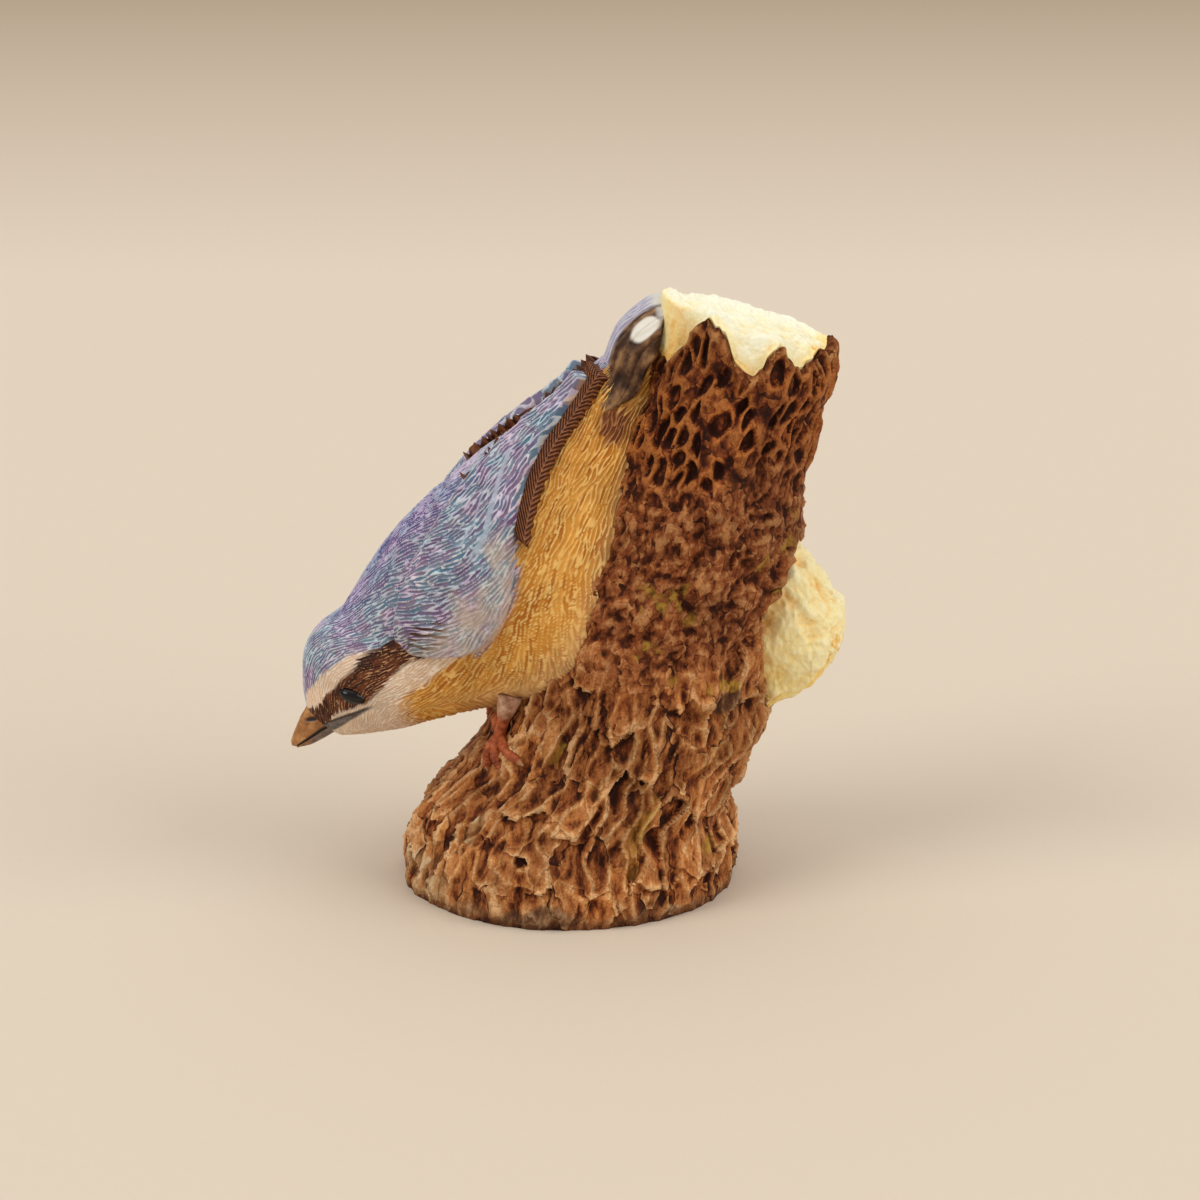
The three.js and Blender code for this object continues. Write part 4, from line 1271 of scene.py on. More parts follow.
# %% Measurements of the wings
# x, inner edge and outer edge in degrees from the middle of the back
WING = [
    [-23.8, 16, 34],
    [-20, 15, 42],
    [-15, 17, 53],
    [-10, 21, 66],
    [-6, 24, 78],
    [-2, 29, 91],
    [2, 35, 98],
    [6, 43, 98],
    [9, 53, 89],
    [11.4, 66, 76],
]
WING_LIFT = 1.95
PRIMARY_ROOT = -6.2
PRIMARY_TIP = -24.9
PRIMARY_SHOW = 1.5
PRIMARY_SHOW_INNER = 0.5
PRIMARY_LIFT = 0.9
BARB_PITCH = 0.52
FRINGE_TOOTH = 0.95


def wing_profile(x, across):
    """Lift of the wing above the skin: gentle on the back, steep at the lower edge and at both ends."""
    swell = smooth(-0.02, 0.22, across) * smooth(1.01, 0.9, across)
    front = smooth(11.4, 8.2, x)
    rear = smooth(-23.9, -22.6, x)
    return -0.25 + (WING_LIFT + 0.25) * swell * front * rear


# The smooth shafts of the long coverts, as (x, degrees), and half their width in degrees
SHAFT = [(-14.5, 33), (-9.1, 51), (-5, 63), (-1.6, 66)]
SHAFT_HALF = 1.7
SHAFT_APART = 8  # a second, thinner shaft runs so many degrees nearer to the back
COVERT_PITCH = 3.4
BARS_PLACE = (7.6, 76)  # x and degrees of the dark bars that end the eye stripe
BARS_SIZE = (2.8, 9)
BAR_PITCH = 0.68
SIDES = ((1, "left"), (-1, "right"))
WING_ROWS = 300
WING_COLUMNS = {"left": 125, "right": 90}


def oval(x, y, place, size):
    """0 in the middle of an oval, 1 on its border, and more outside; size is half of each axis."""
    return np.hypot((x - place[0]) / size[0], (y - place[1]) / size[1])


def make_sheet(name, x, degrees, lift, numbers, finish, solid):
    """A sheet that is lifted off the skin of the bird; its faces are turned to agree with its normals."""
    angle = np.radians(degrees)
    grid = on_stump(skin_point(x, angle, lift))
    outward = on_stump(skin_point(x, angle, lift + 1)) - grid
    normals = turned_out(normals_of(grid, False), outward).reshape(-1, 3)
    points = grid.reshape(-1, 3)
    faces = grid_faces(*x.shape, False)
    a, b, c = (points[faces[:, i]] for i in range(3))
    if np.sum(np.cross(b - a, c - a) * normals[faces[:, 0]]) < 0:
        faces = faces[:, ::-1]
    make_piece(name, points, faces, numbers, finish, [solid], normals, turn=False)


def make_wing(side, label):
    xs = np.linspace(WING[0][0], WING[-1][0], WING_ROWS)
    x, across = np.meshgrid(xs, np.linspace(0, 1, WING_COLUMNS[label]), indexing="ij")
    inner, outer = sample(WING, x)
    degrees = side * (inner + (outer - inner) * across)
    round_place = np.abs(degrees)
    place = skin_point(x, np.radians(degrees))
    numbers = carve_feathers(x, degrees)
    numbers["blue"] = np.maximum(numbers["blue"], smooth(0.985, 0.9, across))
    numbers["stripe"] = numbers["stripe"] * smooth(0.9, 1.0, across)

    # Shafts and wash, which make the gouge marks calmer
    soft_edge = noise(place, 2.2, 85)
    from_shaft = round_place - line(SHAFT, x)
    beside = np.minimum(np.abs(from_shaft), np.abs(from_shaft + SHAFT_APART) + 1.2)
    shaft = smooth(1.3, 0.7, beside / SHAFT_HALF) * smooth(-15, -12, x) * smooth(-1.2, -3, x)
    numbers["shaft"] = shaft * smooth(-0.5, 0.1, soft_edge + 0.3)
    numbers["wash"] = smooth(-8, -3, x) * smooth(0.56, 0.88, across + 0.2 * soft_edge)
    calm = 1 - np.maximum(0.8 * shaft, 0.45 * numbers["wash"])
    numbers["ridge"] = 0.5 + (numbers["ridge"] - 0.5) * calm

    # Rows of coverts, carved by the gouge marks
    covert = np.mod((x + 1.4 * np.cos(3 * math.pi * across)) / COVERT_PITCH, 1)
    edge_wave = 0.012 * noise(place, 1.3, 81)
    lift = wing_profile(x, across + edge_wave) + 0.12 * (0.5 - covert)
    lift = lift + GOUGE_DEPTH * (numbers["ridge"] - 0.5) * smooth(0, 0.4, lift)

    # The brown fringe on the back, and the bars at the shoulder
    inner_fringe = smooth(0.16, 0.05, across + 0.06 * noise(place, 0.9, 83))
    numbers["fringe"] = inner_fringe * smooth(-5, -8, x) * smooth(-25, -23, x)
    wavy = on_stump(place)[..., 2] + 0.12 * noise(place, 0.8, 86)
    bars = smooth(-0.1, 0.5, np.sin(2 * math.pi * wavy / BAR_PITCH))
    bars = bars * smooth(1.1, 0.7, oval(x, round_place, BARS_PLACE, BARS_SIZE) + edge_wave * 12)
    numbers["bars"] = bars * smooth(0.12, 0.25, numbers["tone"])
    name, solid = f"{label}_wing_coverts", f"{label}_wing"
    make_sheet(name, x, degrees, lift, numbers, wing_paint, solid)


# %% [markdown]
# The wings share the paint of the plumage. Over it lie the brown fringe with its pale flecks, the dark
# bars, the shafts in a pale blue, and a tan wash, which a nearly dry brush left uneven.

# %% Wing paint and wings
wing_paint, tree, shader = new_finish("wing paint", 0.55, 0.25)
colour = plumage_colour(tree)
flecks = sums(tree, "GREATER_THAN", grain(tree, 1400, 2), 0.56)
fringe_brown = mix(tree, flecks, paint(104, 66, 46), paint(188, 166, 158))
colour = mix(tree, number(tree, "fringe"), colour, fringe_brown)
colour = mix(tree, number(tree, "bars"), colour, paint(78, 50, 34))
colour = mix(tree, times(tree, number(tree, "shaft"), 0.6), colour, paint(162, 176, 192))
thin = raised(tree, 0.3, rise(tree, grain(tree, 420, 3), 0.4, 0.62), 0.45)
colour = mix(tree, times(tree, number(tree, "wash"), thin), colour, paint(197, 177, 155))
coat(tree, shader, colour)
bump(tree, shader, grain(tree, 3200, 3), 0.1, 0.6)
for side, label in SIDES:
    make_wing(side, label)

# %% [markdown]
# ## Flight feathers
#
# The brown flight feathers show as a narrow band under the blue coverts, and as a toothed fringe on
# the back. Each has fine slanting barbs on both sides of a shaft, like the marks on a file, and the
# band's lower edge is notched where the barbs end.

# %% Flight feathers
flight_paint, tree, shader = new_finish("flight feather paint", 0.5, 0.25)
rub = uneven(tree, number(tree, "ridge"), grain(tree, 1900, 3), 0.7)
coat(tree, shader, shades(tree, rub, (0.2, 66, 30, 14), (0.55, 104, 56, 30), (0.95, 156, 102, 66)))
bump(tree, shader, grain(tree, 3000, 3), 0.08, 0.6)

FLIGHT_ROWS = 400
FLIGHT_COLUMNS = 120


def make_flight_feathers(side, label):
    xs = np.linspace(PRIMARY_TIP, PRIMARY_ROOT, FLIGHT_ROWS)
    x, across = np.meshgrid(xs, np.linspace(0, 1, FLIGHT_COLUMNS), indexing="ij")
    inner, outer = sample(WING, x)
    half_width = sample(BODY, x)[3]

    # The upper edge has teeth, and the lower edge has notches
    notch = np.abs(np.mod(x / (2.2 * BARB_PITCH), 1) - 0.5) * 2
    along_fringe = np.stack([x, 0 * x, 0 * x + side], -1)
    teeth = 1 - np.mod(x / FRINGE_TOOTH + 0.8 * noise(along_fringe, 1.1, 87), 1)
    tooth = teeth * smooth(-0.35, 0.1, noise(along_fringe, 2.1, 84))
    start = inner - np.degrees((PRIMARY_SHOW_INNER * (1.7 * tooth - 0.5)) / half_width)
    end = outer + np.degrees((PRIMARY_SHOW - 0.22 * notch) / half_width)
    degrees = start + (end - start) * across

    # Barbs slant away from the shaft on both sides
    shown = (degrees - outer) * np.radians(1) * half_width / PRIMARY_SHOW
    shaft = np.abs(shown - 0.5)
    barb = np.mod((x + 1.5 * shaft * PRIMARY_SHOW) / BARB_PITCH, 1)
    ridge = np.maximum(1 - np.abs(2 * barb - 1), smooth(0.07, 0.0, shaft))
    ridge = ridge + (0.3 + 0.4 * tooth - ridge) * smooth(0.3, 0.1, across)

    round_edges = smooth(0, 0.03, across) * smooth(1.0, 0.97, across)
    ends = smooth(PRIMARY_TIP, PRIMARY_TIP + 0.6, x) * smooth(PRIMARY_ROOT, PRIMARY_ROOT - 0.8, x)
    lift = -0.3 + (PRIMARY_LIFT + 0.3) * round_edges * ends + 0.2 * (ridge - 0.5) * round_edges * ends
    lift = lift + 0.7 * tooth * smooth(0.07, 0.0, across) * smooth(0, 0.02, across) * ends
    name, solid = f"{label}_flight_feathers", f"{label}_primaries"
    make_sheet(name, x, side * degrees, lift, {"ridge": ridge}, flight_paint, solid)


for side, label in SIDES:
    make_flight_feathers(side, label)

# %% [markdown]
# ## Tail
#
# The tail is an arch of long feathers that lies over the edge of the bark. Its middle pair is blue
# like the back. The outer feathers are nearly black, mottled with brown, and carry one white spot
# near the tip. All three pieces are parts of one arch, so they share one function.

# %% Measurements of the tail
TAIL_START = -20.6
TAIL_END = -35
TAIL_HALF_WIDTH = 4.9
TAIL_HEIGHT = 5.0
TAIL_RIDGE = [[0, 2.6], [0.3, 3.1], [0.58, 4.4], [0.86, 3.9], [1, 2.7]]  # by share of its length
TAIL_THICKNESS = 0.8
TAIL_MIDDLE_ANGLE = 27
TAIL_SIDE_ANGLE = 86
TAIL_ROOT_ANGLE = 50
TAIL_SPREAD = 6
TAIL_SIDE_SHORT = 5
# How far the fibres wander, how wide and how high they are, and how far the rim sinks
MIDDLE_FIBRES = (0.3, 0.55, 0.1, 0.15)
SIDE_FIBRES = (0.55, 1.25, 0.24, 0.25)
FEATHER_WIDTH = 1.7
SPOT_PLACE = (-31.0, 50)  # x and degrees
SPOT_SIZE = (1.8, 12)
TAIL_ROWS = 130


def tail_point(x, angle, depth):
    """A place on the arch, which is sunk into it by the depth."""
    ridge = sample(TAIL_RIDGE, (x - TAIL_START) / (TAIL_END - TAIL_START))[0]
    y = (TAIL_HALF_WIDTH - depth) * np.sin(angle)
    return np.stack([x + 0 * angle, y, ridge - TAIL_HEIGHT + (TAIL_HEIGHT - depth) * np.cos(angle)], -1)


# %% [markdown]
# The outer feathers are painted nearly black and rubbed brown on the ridges, and the middle pair gets
# a blue like that of the back. Each piece is a curved plate: an outer face with the carving, a plain
# inner face, and the edge between them.

# %% Tail paint and tail
tail_paint, tree, shader = new_finish("tail paint", 0.5, 0.25)
rub = uneven(tree, number(tree, "ridge"), grain(tree, 1500, 3), 0.9)
blue = mix(tree, rise(tree, rub, 0.4, 0.8), paint(154, 148, 174), paint(200, 198, 210))
dark = shades(tree, rub, (0.2, 36, 18, 8), (0.5, 70, 42, 24), (0.75, 108, 76, 48), (1.0, 150, 112, 76))
colour = mix(tree, number(tree, "middle"), dark, blue)
colour = mix(tree, number(tree, "tip"), colour, paint(216, 214, 206))
colour = mix(tree, number(tree, "spot"), colour, paint(238, 234, 224))
coat(tree, shader, colour)
bump(tree, shader, grain(tree, 2600, 3), 0.1, 0.6)


def sheet_faces(rows, columns):
    """Faces of a curved plate: an outer grid, an inner grid and the edge between them."""
    outer = grid_faces(rows, columns, False)
    inner = outer[:, ::-1] + rows * columns
    number_of = np.arange(rows * columns).reshape(rows, columns)
    sides = [number_of[0, :-1], number_of[:-1, -1], number_of[-1, :0:-1], number_of[:0:-1, 0]]
    loop = np.concatenate(sides)
    after = np.roll(loop, -1)
    rim = np.stack([after, loop, loop + rows * columns, after + rows * columns], -1)
    return np.concatenate([outer, inner, rim])


def make_tail(name, solid, from_degrees, to_degrees, columns, middle):
    parts = np.linspace(0, 1, TAIL_ROWS)
    degrees = np.linspace(from_degrees, to_degrees, columns)
    part, round_place = np.meshgrid(parts, degrees, indexing="ij")
    away = np.abs(round_place)
    end = TAIL_END + TAIL_SIDE_SHORT * (away / TAIL_SIDE_ANGLE) ** 2
    x = TAIL_START + (end - TAIL_START) * part
    spread = smooth(0, TAIL_SPREAD, TAIL_START - x)
    narrow = (1 - spread) * (1 - TAIL_ROOT_ANGLE / TAIL_SIDE_ANGLE)
    past = np.maximum(away - TAIL_MIDDLE_ANGLE, 0) * np.sign(round_place)
    angle = np.radians(round_place - past * narrow)

    # Fibres along the tail, and a groove between one feather and the next
    wander, pitch, depth, sink = MIDDLE_FIBRES if middle else SIDE_FIBRES
    place = tail_point(x, angle, 0)
    v = TAIL_HALF_WIDTH * angle
    fibre = np.abs(np.mod((v + wander * noise(place * [0.7, 1, 1], 1.3, 91) + 0.12 * x) / pitch, 1) * 2 - 1)
    ridge = 1 - fibre * (0.7 + 0.3 * noise(place, 0.9, 92))
    if not middle:
        ridge = 0.5 * ridge + 0.28 + 0.35 * crumbs(place * [0.6, 1, 1], 1.1, 2, 96)
    feather = np.abs(np.mod(v / FEATHER_WIDTH + 0.5, 1) * 2 - 1)
    relief = depth * (ridge - 0.5) - 0.18 * smooth(0.85, 1.0, feather)
    tip = smooth(1.0, 0.94, part)
    edge = smooth(from_degrees, from_degrees + 3, round_place)
    edge = edge * smooth(to_degrees, to_degrees - 3, round_place)
    relief = relief - sink * (1 - edge) - 0.35 * (1 - tip)

    # White spot, blue middle and pale tip
    spot = oval(x, away, SPOT_PLACE, SPOT_SIZE)
    spot = smooth(1.15, 0.85, spot + 0.18 * noise(place, 1.2, 93))
    blue_border = TAIL_MIDDLE_ANGLE + 4 * noise(place * [0.4, 1, 1], 1.5, 94)
    share_blue = smooth(4, -4, away - blue_border)
    share_blue = np.maximum(share_blue, smooth(0.93, 0.99, part) * smooth(58, 44, away))
    tip_pale = smooth(0.84, 0.97, part + 0.05 * noise(place, 1.0, 95)) * share_blue

    outer = tail_point(x, angle, -relief)
    inner = tail_point(x, angle, TAIL_THICKNESS)
    points = on_stump(np.stack([outer, inner]).reshape(-1, 3))
    numbers = {
        "ridge": np.stack([ridge, 0 * ridge]),
        "spot": np.stack([spot, 0 * spot]),
        "middle": np.stack([share_blue, share_blue]),
        "tip": np.stack([tip_pale, tip_pale]),
    }
    make_piece(name, points, sheet_faces(TAIL_ROWS, columns), numbers, tail_paint, [solid])


SIDE_START = TAIL_MIDDLE_ANGLE + math.degrees(0.3 / TAIL_HALF_WIDTH)
MIDDLE_END = TAIL_MIDDLE_ANGLE + 3
make_tail("left_tail_side", "left_tail_feathers", SIDE_START, TAIL_SIDE_ANGLE, 60, False)
make_tail("right_tail_side", "right_tail_feathers", -TAIL_SIDE_ANGLE, -SIDE_START, 60, False)
make_tail("tail_middle", "tail_centre", -MIDDLE_END, MIDDLE_END, 64, True)

# %% [markdown]
# ## Bill
#
# The bill is a short chisel: a tan upper and lower half with a dark gape line between them, a dark
# nostril near its root, and a slate-grey lower half. Each half is a half-round wedge on the gape line.
# The nostril is a short slit that slants up towards the ridge, pressed in and painted dark.

# %% Measurements of the bill
# x, ridge, gape line, keel and half width
BILL = [
    [21.0, 3.0, -1.6, -3.0, 1.7],
    [24.8, 2.9, 0.0, -1.3, 1.6],
    [27.4, 2.25, 0.65, -0.35, 1.1],
    [28.9, 1.7, 0.95, 0.6, 0.55],
]
UPPER_TIP = (29.25, 0, 1.3)
LOWER_TIP = (28.85, 0, 0.75)
GAPE_GAP = 0.1
NOSTRIL_PLACE = (25.15, 38)  # x and degrees up from the gape line
NOSTRIL_SIZE = (0.85, 0.3)  # half its length and half its width
NOSTRIL_RISE = math.radians(36)  # it slants up towards the ridge
BILL_ROWS = 70
ROUND_COLUMNS = 52  # points over the round side of each row
FLAT_COLUMNS = 12  # points on its flat side, along the gape

bill_paint, tree, shader = new_finish("bill paint", 0.4, 0.35)
streaks = grain(tree, 700, 4, 0.65)
upper = shades(tree, streaks, (0.3, 112, 66, 34), (0.5, 166, 112, 62), (0.72, 204, 152, 94))
lower = shades(tree, streaks, (0.3, 84, 76, 74), (0.6, 128, 116, 108), (0.8, 176, 146, 112))
colour = mix(tree, number(tree, "grey"), upper, lower)
colour = mix(tree, number(tree, "dark"), colour, paint(46, 26, 18))
coat(tree, shader, colour)
bump(tree, shader, grain(tree, 1500, 3), 0.08, 0.5)


def make_bill_half(name, solid, is_upper, tip):
    xs = np.linspace(BILL[0][0], BILL[-1][0], BILL_ROWS)
    round_turns = np.linspace(0, math.pi, ROUND_COLUMNS)
    flat_turns = np.linspace(math.pi, 2 * math.pi, FLAT_COLUMNS + 2)[1:-1]
    x, turn = np.meshgrid(xs, np.concatenate([round_turns, flat_turns]), indexing="ij")
    ridge, gape, keel, half_width = sample(BILL, x)
    flat = gape + GAPE_GAP / 2 if is_upper else gape - GAPE_GAP / 2
    height = (ridge if is_upper else keel) - flat
    upward = np.maximum(np.sin(turn), 0)
    place = np.stack([x, half_width * np.cos(turn), flat + height * upward], -1)

    # The nostril is a slit in the side of the upper half
    side_degrees = np.degrees(np.arccos(np.abs(np.cos(turn)))) * (turn < math.pi)
    nostril_x, nostril_degrees = NOSTRIL_PLACE
    upwards = np.radians(side_degrees - nostril_degrees) * height
    upwards = upwards * math.cos(math.radians(nostril_degrees))
    slit = tipped(x - nostril_x, upwards, NOSTRIL_RISE)
    nostril = oval(*slit, (0, 0), NOSTRIL_SIZE)
    nostril = smooth(1.1, 0.6, nostril + 0.2 * noise(place, 0.6, 101)) * is_upper

    gape_dark = smooth(9, 2, side_degrees)
    root = smooth(24.6, 23.6, x + 0.3 * noise(place, 0.8, 102))
    push = 0.05 * noise(place, 0.9, 103) - 0.14 * nostril
    outward = place - np.stack([x, 0 * x, flat], -1)
    length = np.maximum(np.linalg.norm(outward, axis=-1, keepdims=True), 0.05)
    place = place + push[..., None] * outward / length
    grey = smooth(28.5, 26.0, x) * (0.0 if is_upper else 0.9)
    numbers = {"dark": np.maximum(np.maximum(nostril, gape_dark), root * 0.25), "grey": grey}
    numbers = {label: np.append(values.ravel(), [0.0, 1.0]) for label, values in numbers.items()}
    faces = faces_with_ends(*x.shape)
    make_piece(name, on_stump(with_ends(place, tip)), faces, numbers, bill_paint, [solid])


make_bill_half("upper_bill", "upper_mandible", True, UPPER_TIP)
make_bill_half("lower_bill", "lower_mandible", False, LOWER_TIP)

# %% [markdown]
# ## Eyes
#
# Each eye is a bead of black-brown gloss paint, slightly longer than high, set into the dark stripe.
# A bead shaped by a subdivided cube is rounder and smoother than a globe with poles.

# %% Eyes
EYE_CENTRE = (18.8, 5.45, 0.7)
EYE_RADII = (0.9, 1.2, 1.65)
EYE_TILT = math.radians(24)
EYE_CUTS = 9  # cuts of each edge of the cube

eye_paint, tree, shader = new_finish("eye gloss", 0.16, 0.35)
coat(tree, shader, shades(tree, grain(tree, 900, 2), (0.4, 8, 6, 6), (0.7, 22, 15, 12)))
bump(tree, shader, grain(tree, 1800, 2), 0.03, 0.3)


def make_eye(side, label):
    bead = bmesh.new()
    bmesh.ops.create_cube(bead, size=2)
    bmesh.ops.subdivide_edges(bead, edges=bead.edges[:], cuts=EYE_CUTS, use_grid_fill=True)
    places = np.array([vertex.co[:] for vertex in bead.verts])
    faces = np.array([[vertex.index for vertex in face.verts] for face in bead.faces])
    bead.free()
    places = places / np.linalg.norm(places, axis=1, keepdims=True)
    places = places * EYE_RADII
    forward, up = tipped(places[:, 0], places[:, 2], EYE_TILT)
    places = np.stack([forward, places[:, 1], up], -1) + np.array(EYE_CENTRE) * [1, side, 1]
    make_piece(f"{label}_eye_bead", on_stump(places), faces, {}, eye_paint, [f"{label}_eye"])


for side, label in SIDES:
    make_eye(side, label)

# %% [markdown]
# ## Bare wood
#
# Inside the bark the wood is bare: cream white, granular like crumbled plaster, with a thin yellow
# wash left in its pits. It fills the broken top, spills a little over the torn edge of the bark, and
# shows again on the torn limb at the right.

# %% Wood paint
wood_paint, tree, shader = new_finish("bare wood paint", 0.6, 0.3)
level = uneven(tree, number(tree, "relief"), grain(tree, 1700, 4), 0.9)
cream = shades(
    tree,
    level,
    (0.05, 238, 212, 146),
    (0.3, 245, 236, 194),
    (0.55, 249, 245, 216),
    (0.9, 252, 250, 228),
)
wash = shades(
    tree,
    level,
    (0.05, 236, 168, 62),
    (0.3, 253, 210, 120),
    (0.6, 255, 232, 154),
    (0.95, 255, 241, 184),
)
colour = mix(tree, number(tree, "wash"), cream, wash)
specks = rise(tree, raised(tree, grain(tree, 1900, 3, 0.6), grain(tree, 260, 2), 1.4), 1.38, 1.5)
colour = mix(tree, times(tree, specks, number(tree, "wash")), colour, paint(238, 180, 66))
coat(tree, shader, colour)
shader.inputs["Subsurface Weight"].default_value = 0.08
shader.inputs["Subsurface Radius"].default_value = (0.001, 0.0007, 0.0004)
bump(tree, shader, grain(tree, 2200, 4), 0.2, 0.8)

# %% [markdown]
# The broken top falls off to the right. Its rim follows the torn edge of the bark and stays a little
# behind it, with the sharpest teeth smoothed away, and it is rounded towards its edge. On the left,
# beside the tail, it comes out past the bark, and its flank shows bare. Below the rim a wall goes down
# behind the bark, and a core fills the bark to the ground.

# %% Broken top of the stump
WOOD_OVER_EDGE = 1.8
WOOD_TOP = WOOD_OVER_EDGE + np.mean(TORN_EDGE, axis=0)[1]
WOOD_TOP_MIDDLE = 19
WOOD_TOP_FALL = 0.3
WOOD_TOP_RISE = -0.04
WOOD_SHOULDER = 0.35
WOOD_BEHIND_BARK = 0.6  # how far its rim stays behind the outer face of the bark
WOOD_FLANK = (170, 212)  # in degrees: here it shows bare beside the tail
WOOD_FLANK_OUT = 0.5
CALM_REACH = 9  # the teeth of the rim fade out inwards over so many columns
CALM_SHARE = 0.85
CORE_DEPTH = 2.7  # the core lies so far behind the plain outside of the stump
CORE_DROP = 4  # its top lies so far below the rim
CORE_RINGS = 15
WALL_RINGS = 8
TOP_RINGS = 112
WOOD_RINGS = CORE_RINGS + WALL_RINGS + TOP_RINGS
WOOD_COLUMNS = 360


def wood_height(place):
    """Height of the plain broken top, which is a slanting plane."""
    return WOOD_TOP - WOOD_TOP_FALL * (place[..., 0] - WOOD_TOP_MIDDLE) + WOOD_TOP_RISE * place[..., 1]


# The rim, from the torn edge of the bark
turns = np.linspace(0, 2 * math.pi, WOOD_COLUMNS, endpoint=False)
turns_degrees = np.degrees(turns)
bark_rim = outside[-1]
rim_of_bark = [np.interp(turns, angles, bark_rim[:, axis], period=2 * math.pi) for axis in range(3)]
rim = np.stack(rim_of_bark, -1)
calm_rim = sum(np.roll(rim, step, axis=0) for step in range(-CALM_REACH, CALM_REACH + 1))
calm_rim = calm_rim / (2 * CALM_REACH + 1)
rim[:, :2] = CALM_SHARE * calm_rim[:, :2] + (1 - CALM_SHARE) * rim[:, :2]
flank = smooth(WOOD_FLANK[0] - 12, WOOD_FLANK[0], turns_degrees)
flank = flank * smooth(WOOD_FLANK[1] + 8, WOOD_FLANK[1], turns_degrees)
inwards = (1 - flank) * WOOD_BEHIND_BARK - flank * WOOD_FLANK_OUT
rim = rim - inwards[:, None] * np.stack([np.cos(turns), np.sin(turns), 0 * turns], -1)
rim_height = rim[:, 2]

# The top, as rings from the rim to the middle
left, right, _ = sample(STUMP, WOOD_TOP)
middle = np.array([(left + right) / 2, 0, 0])
top_share, _ = np.meshgrid(np.linspace(1, 0.01, TOP_RINGS), turns, indexing="ij")
flat = rim * [1, 1, 0]
top = middle + (flat - middle)[None] * top_share[..., None]
rim_weight = smooth(0.66 + 0.25 * flank[None], 1.0, top_share) ** 2
height = wood_height(top)
calm_height = calm_rim[:, 2]
torn_share = smooth(0.93, 1.0, top_share)
inner_rim = calm_height[None] + (rim_height - calm_height)[None] * torn_share
low = np.minimum(0, inner_rim + WOOD_SHOULDER * smooth(1, 0.9, top_share) - height)
top[..., 2] = height + low * rim_weight
lumps = 0.42 * noise(top * [1, 1, 0], 2.6) + 0.22 * noise(top, 1.2, 112) + 0.16 * crumbs(top, 0.6, 3, 113)
top[..., 2] += lumps * (1 - 0.7 * smooth(0.9, 1.0, top_share))

# The wall behind the bark and the core below it
wall_foot = stump_point(turns, rim_height - CORE_DROP, -CORE_DEPTH)
wall_shares = np.linspace(0, 1, WALL_RINGS, endpoint=False)
wall = wall_foot[None] + (top[0] - wall_foot)[None] * wall_shares[:, None, None]
core_shares = np.linspace(0, 1, CORE_RINGS, endpoint=False)
core = [stump_point(turns, share * (rim_height - CORE_DROP), -CORE_DEPTH) for share in core_shares]
hidden = np.concatenate([np.stack(core), wall])
wood_grid = np.concatenate([hidden, top])
wood_relief = np.concatenate([np.full(hidden.shape[:2], 0.5), 0.55 + 0.75 * lumps])
rim_wash = 0.9 * smooth(0.84, 1.0, top_share + 0.05 * noise(top, 2, 114))
wood_wash = np.concatenate([np.full(hidden.shape[:2], 0.8), rim_wash])
numbers = {
    "relief": np.append(wood_relief.ravel(), [0.5, 0.5]),
    "wash": np.append(wood_wash.ravel(), [0.3, 0.5]),
}
faces = faces_with_ends(WOOD_RINGS, WOOD_COLUMNS)
make_piece("bare_wood", with_ends(wood_grid), faces, numbers, wood_paint, ["stump_wood"])

# %% [markdown]
# The limb is a short stub that bulges out of the bark on the right and ends in a torn, rounded face.
# It is broken into a few large facets, with lumps, crumbs and upright fibres on them, and painted like
# the broken top. Its rings stand closer together where it curves in, so that the torn face is as fine
# as its side.

# %% Torn limb
# x, low edge, high edge, half depth
LIMB = [
    [13, 20.8, 36.5, 4.6],
    [20.5, 18.6, 38.0, 5.3],
    [24, 20.3, 37.7, 5.9],
    [26.6, 21.8, 35.0, 5.6],
    [28.4, 24.6, 32.0, 4.4],
    [29.5, 27.0, 31.0, 2.4],
]
LIMB_TIP = 29.85
LIMB_ROWS = 150
LIMB_COLUMNS = 260
LIMB_FACETS = 9  # facets round the limb
LIMB_FACET_LENGTH = 4.5
LIMB_RELIEF = 0.55

# Rings at even distances along the curved side
places = np.linspace(LIMB[0][0], LIMB[-1][0], 400)
low_edge, high_edge, _ = sample(LIMB, places)
steps = np.hypot(np.diff(places), np.diff((high_edge - low_edge) / 2))
way = np.concatenate([[0], np.cumsum(steps)])
xs = np.interp(np.linspace(0, way[-1], LIMB_ROWS), way, places)
turns = np.linspace(0, 2 * math.pi, LIMB_COLUMNS, endpoint=False)
x, turn = np.meshgrid(xs, turns, indexing="ij")
way_along = np.interp(x, places, way)
low_edge, high_edge, half_depth = sample(LIMB, x)
centre = (low_edge + high_edge) / 2
limb = np.stack([x, half_depth * np.cos(turn), centre + (high_edge - low_edge) / 2 * np.sin(turn)], -1)
limb_normals = turned_out(normals_of(limb, True), limb - np.stack([x - 4, 0 * x, centre], -1))

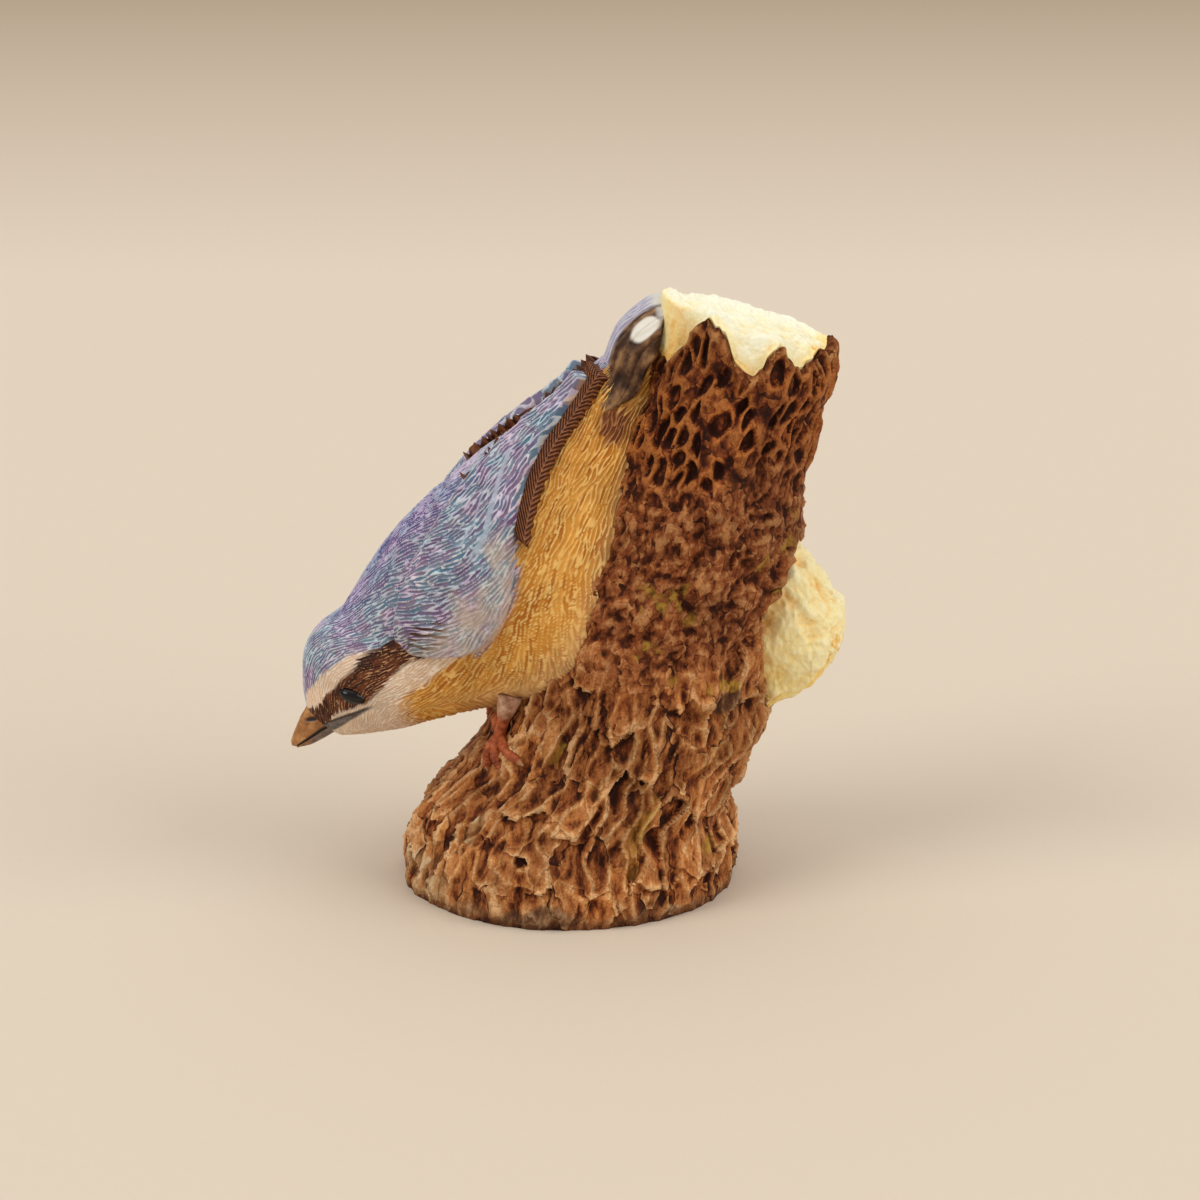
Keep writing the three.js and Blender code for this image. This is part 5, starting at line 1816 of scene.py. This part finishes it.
# Facets, lumps, fibres and crumbs
fibre = noise(limb * [1, 1.4, 0.55], 1.6, 121)
column = turn / (2 * math.pi) * LIMB_FACETS
_, own, across, along = cells(column, way_along / LIMB_FACET_LENGTH, LIMB_FACETS, 125)
lumps = 0.4 * tilted(own, across, along) + 0.25 * (own - 0.7) + 0.45 * noise(limb, 3.0, 122) + 0.3 * fibre
lumps = lumps + 0.42 * crumbs(limb, 1.0, 3, 123) + 0.55 * noise(limb, 5.2, 126)
push = LIMB_RELIEF * (lumps[..., None] - 0.2) * limb_normals
limb = limb + push * smooth(0, 0.6, LIMB_TIP - x)[..., None]
limb[..., 0] = np.minimum(limb[..., 0], LIMB_TIP)
limb_wash = 0.7 + 0.3 * smooth(31, 22, limb[..., 2] + 3 * noise(limb, 4, 124))
numbers = {
    "relief": np.append((0.6 + 0.5 * lumps).ravel(), [0.5, 0.5]),
    "wash": np.append(limb_wash.ravel(), [0.5, 0.5]),
}
points = with_ends(limb, limb[-1].mean(axis=0) + [0.25, 0, 0])
faces = faces_with_ends(LIMB_ROWS, LIMB_COLUMNS)
make_piece("bare_limb", points, faces, numbers, wood_paint, ["torn_limb"])

# %% [markdown]
# ## Feet
#
# One foot shows below the belly: a short orange-brown shank and plump toes that end in thin claws,
# gripping the bark. Each is a tube of changing width along a smooth curve. The top of the shank is
# thick and pale, where the feathers of the thigh cover it. The other foot is its mirror image on the
# hidden side.

# %% Measurements of the feet
# Places on the bark: degrees from +X, and height
ANKLE = (208, 18.2)
SHANK_TOP = (209.5, 22.6)
SHANK_LIFT = 1.6
SHANK_RADIUS = 0.65
THIGH_RADIUS = 1.35
TOE_RADIUS = 0.55
CLAW_RADIUS = 0.1
TOE_LIFT = 0.75
TOE_TIPS = [(208, 15.0), (216, 15.2), (223, 16.4), (201, 20.6)]
CLAW_LENGTH = 1.1
SHANK_ROWS = 40
TOE_ROWS = 60
FOOT_SIDES = 20

foot_paint, tree, shader = new_finish("foot paint", 0.5, 0.3)
skin_grain = grain(tree, 1100, 4)
colour = shades(tree, skin_grain, (0.3, 96, 38, 16), (0.5, 158, 76, 38), (0.72, 204, 116, 66))
colour = mix(tree, number(tree, "claw"), colour, paint(170, 124, 86))
down = grain(tree, 700, 5, 0.7)
thigh = shades(tree, down, (0.35, 138, 92, 66), (0.5, 188, 146, 118), (0.65, 216, 184, 156))
coat(tree, shader, mix(tree, number(tree, "trousers"), colour, thigh))
bump(tree, shader, grain(tree, 2400, 3), 0.12, 0.7)


def bark_place(place, side, lift):
    """A place on the bark, on one side or mirrored, lifted off it."""
    degrees = place[0] if side > 0 else 360 - place[0]
    return stump_point(np.array(math.radians(degrees)), np.array(place[1]), lift)


def tube(path, radii, rows, wrinkled=0.07):
    """Rings of points along a smooth curve through the path, and where each ring stands, from 0 to 1."""
    knots = np.linspace(0, 1, len(path))
    at = np.linspace(0, 1, rows)
    curve = np.stack(sample(np.column_stack([knots, path]), at), -1)
    radius = np.interp(at, np.linspace(0, 1, len(radii)), radii)
    tangent = np.gradient(curve, axis=0)
    tangent = tangent / np.linalg.norm(tangent, axis=1, keepdims=True)
    across = np.cross(tangent, [0.31, 0.52, 0.8])
    across = across / np.linalg.norm(across, axis=1, keepdims=True)
    other = np.cross(tangent, across)
    turn = np.linspace(0, 2 * math.pi, FOOT_SIDES, endpoint=False)
    ring = np.cos(turn)[None, :, None] * across[:, None] + np.sin(turn)[None, :, None] * other[:, None]
    wrinkle = 1 + wrinkled * np.sin(at * rows * 1.1)[:, None]
    return curve[:, None] + ring * (radius[:, None] * wrinkle)[..., None], at


def make_foot(side, label):
    joint = bark_place(ANKLE, side, TOE_LIFT + 0.2)
    top = bark_place(SHANK_TOP, side, SHANK_LIFT)
    radii = [THIGH_RADIUS, THIGH_RADIUS * 0.8, SHANK_RADIUS, SHANK_RADIUS]
    tubes = [tube([top, (top + joint) / 2, joint], radii, SHANK_ROWS, 0.0)]
    radii = [TOE_RADIUS, TOE_RADIUS * 0.95, TOE_RADIUS * 0.9, CLAW_RADIUS]
    for tip in TOE_TIPS:
        end = bark_place(tip, side, TOE_LIFT - 0.1)
        knuckle = joint + (end - joint) * 0.55 + (bark_place(tip, side, TOE_LIFT + 0.5) - end)
        way = (end - joint) / np.linalg.norm(end - joint)
        bite = bark_place(tip, side, TOE_LIFT - 0.5) + way * CLAW_LENGTH
        tubes.append(tube([joint, knuckle, end, bite], radii, TOE_ROWS))

    points, faces, claw, trousers = [], [], [], []
    first = 0
    for number_of_tube, (rings, at) in enumerate(tubes):
        points.append(with_ends(rings))
        faces.append(faces_with_ends(len(rings), FOOT_SIDES, first))
        nail = smooth(0.74, 0.82, at) * (number_of_tube > 0)
        claw.append(np.append(np.repeat(nail, FOOT_SIDES), [nail[-1], 0]))
        feathered = smooth(0.62, 0.4, at) * (number_of_tube == 0)
        trousers.append(np.append(np.repeat(feathered, FOOT_SIDES), [0, feathered[0]]))
        first += len(points[-1])
    points, faces = np.concatenate(points), np.concatenate(faces)
    numbers = {"claw": np.concatenate(claw), "trousers": np.concatenate(trousers)}
    make_piece(f"{label}_toes", points, faces, numbers, foot_paint, [f"{label}_foot"])


for side, label in SIDES:
    make_foot(side, label)

# %% [markdown]
# ## Perch pin
#
# A wire dowel inside joins the bird to the stump. Nobody sees it, so the solid itself stays and only
# gets its finish: drawn steel, with fine scratches along it.

# %% Pin finish
pin_steel, tree, shader = new_finish("drawn steel", 0.34)
scratches = grain(tree, 1200, 4, 0.6, stretch=(0.05, 1, 1))
coat(tree, shader, shades(tree, scratches, (0.3, 150, 150, 148), (0.7, 196, 196, 192)))
shader.inputs["Metallic"].default_value = 1.0
bump(tree, shader, scratches, 0.02, 0.4)
for material_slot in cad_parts["perch_pin"].material_slots:
    material_slot.material = pin_steel
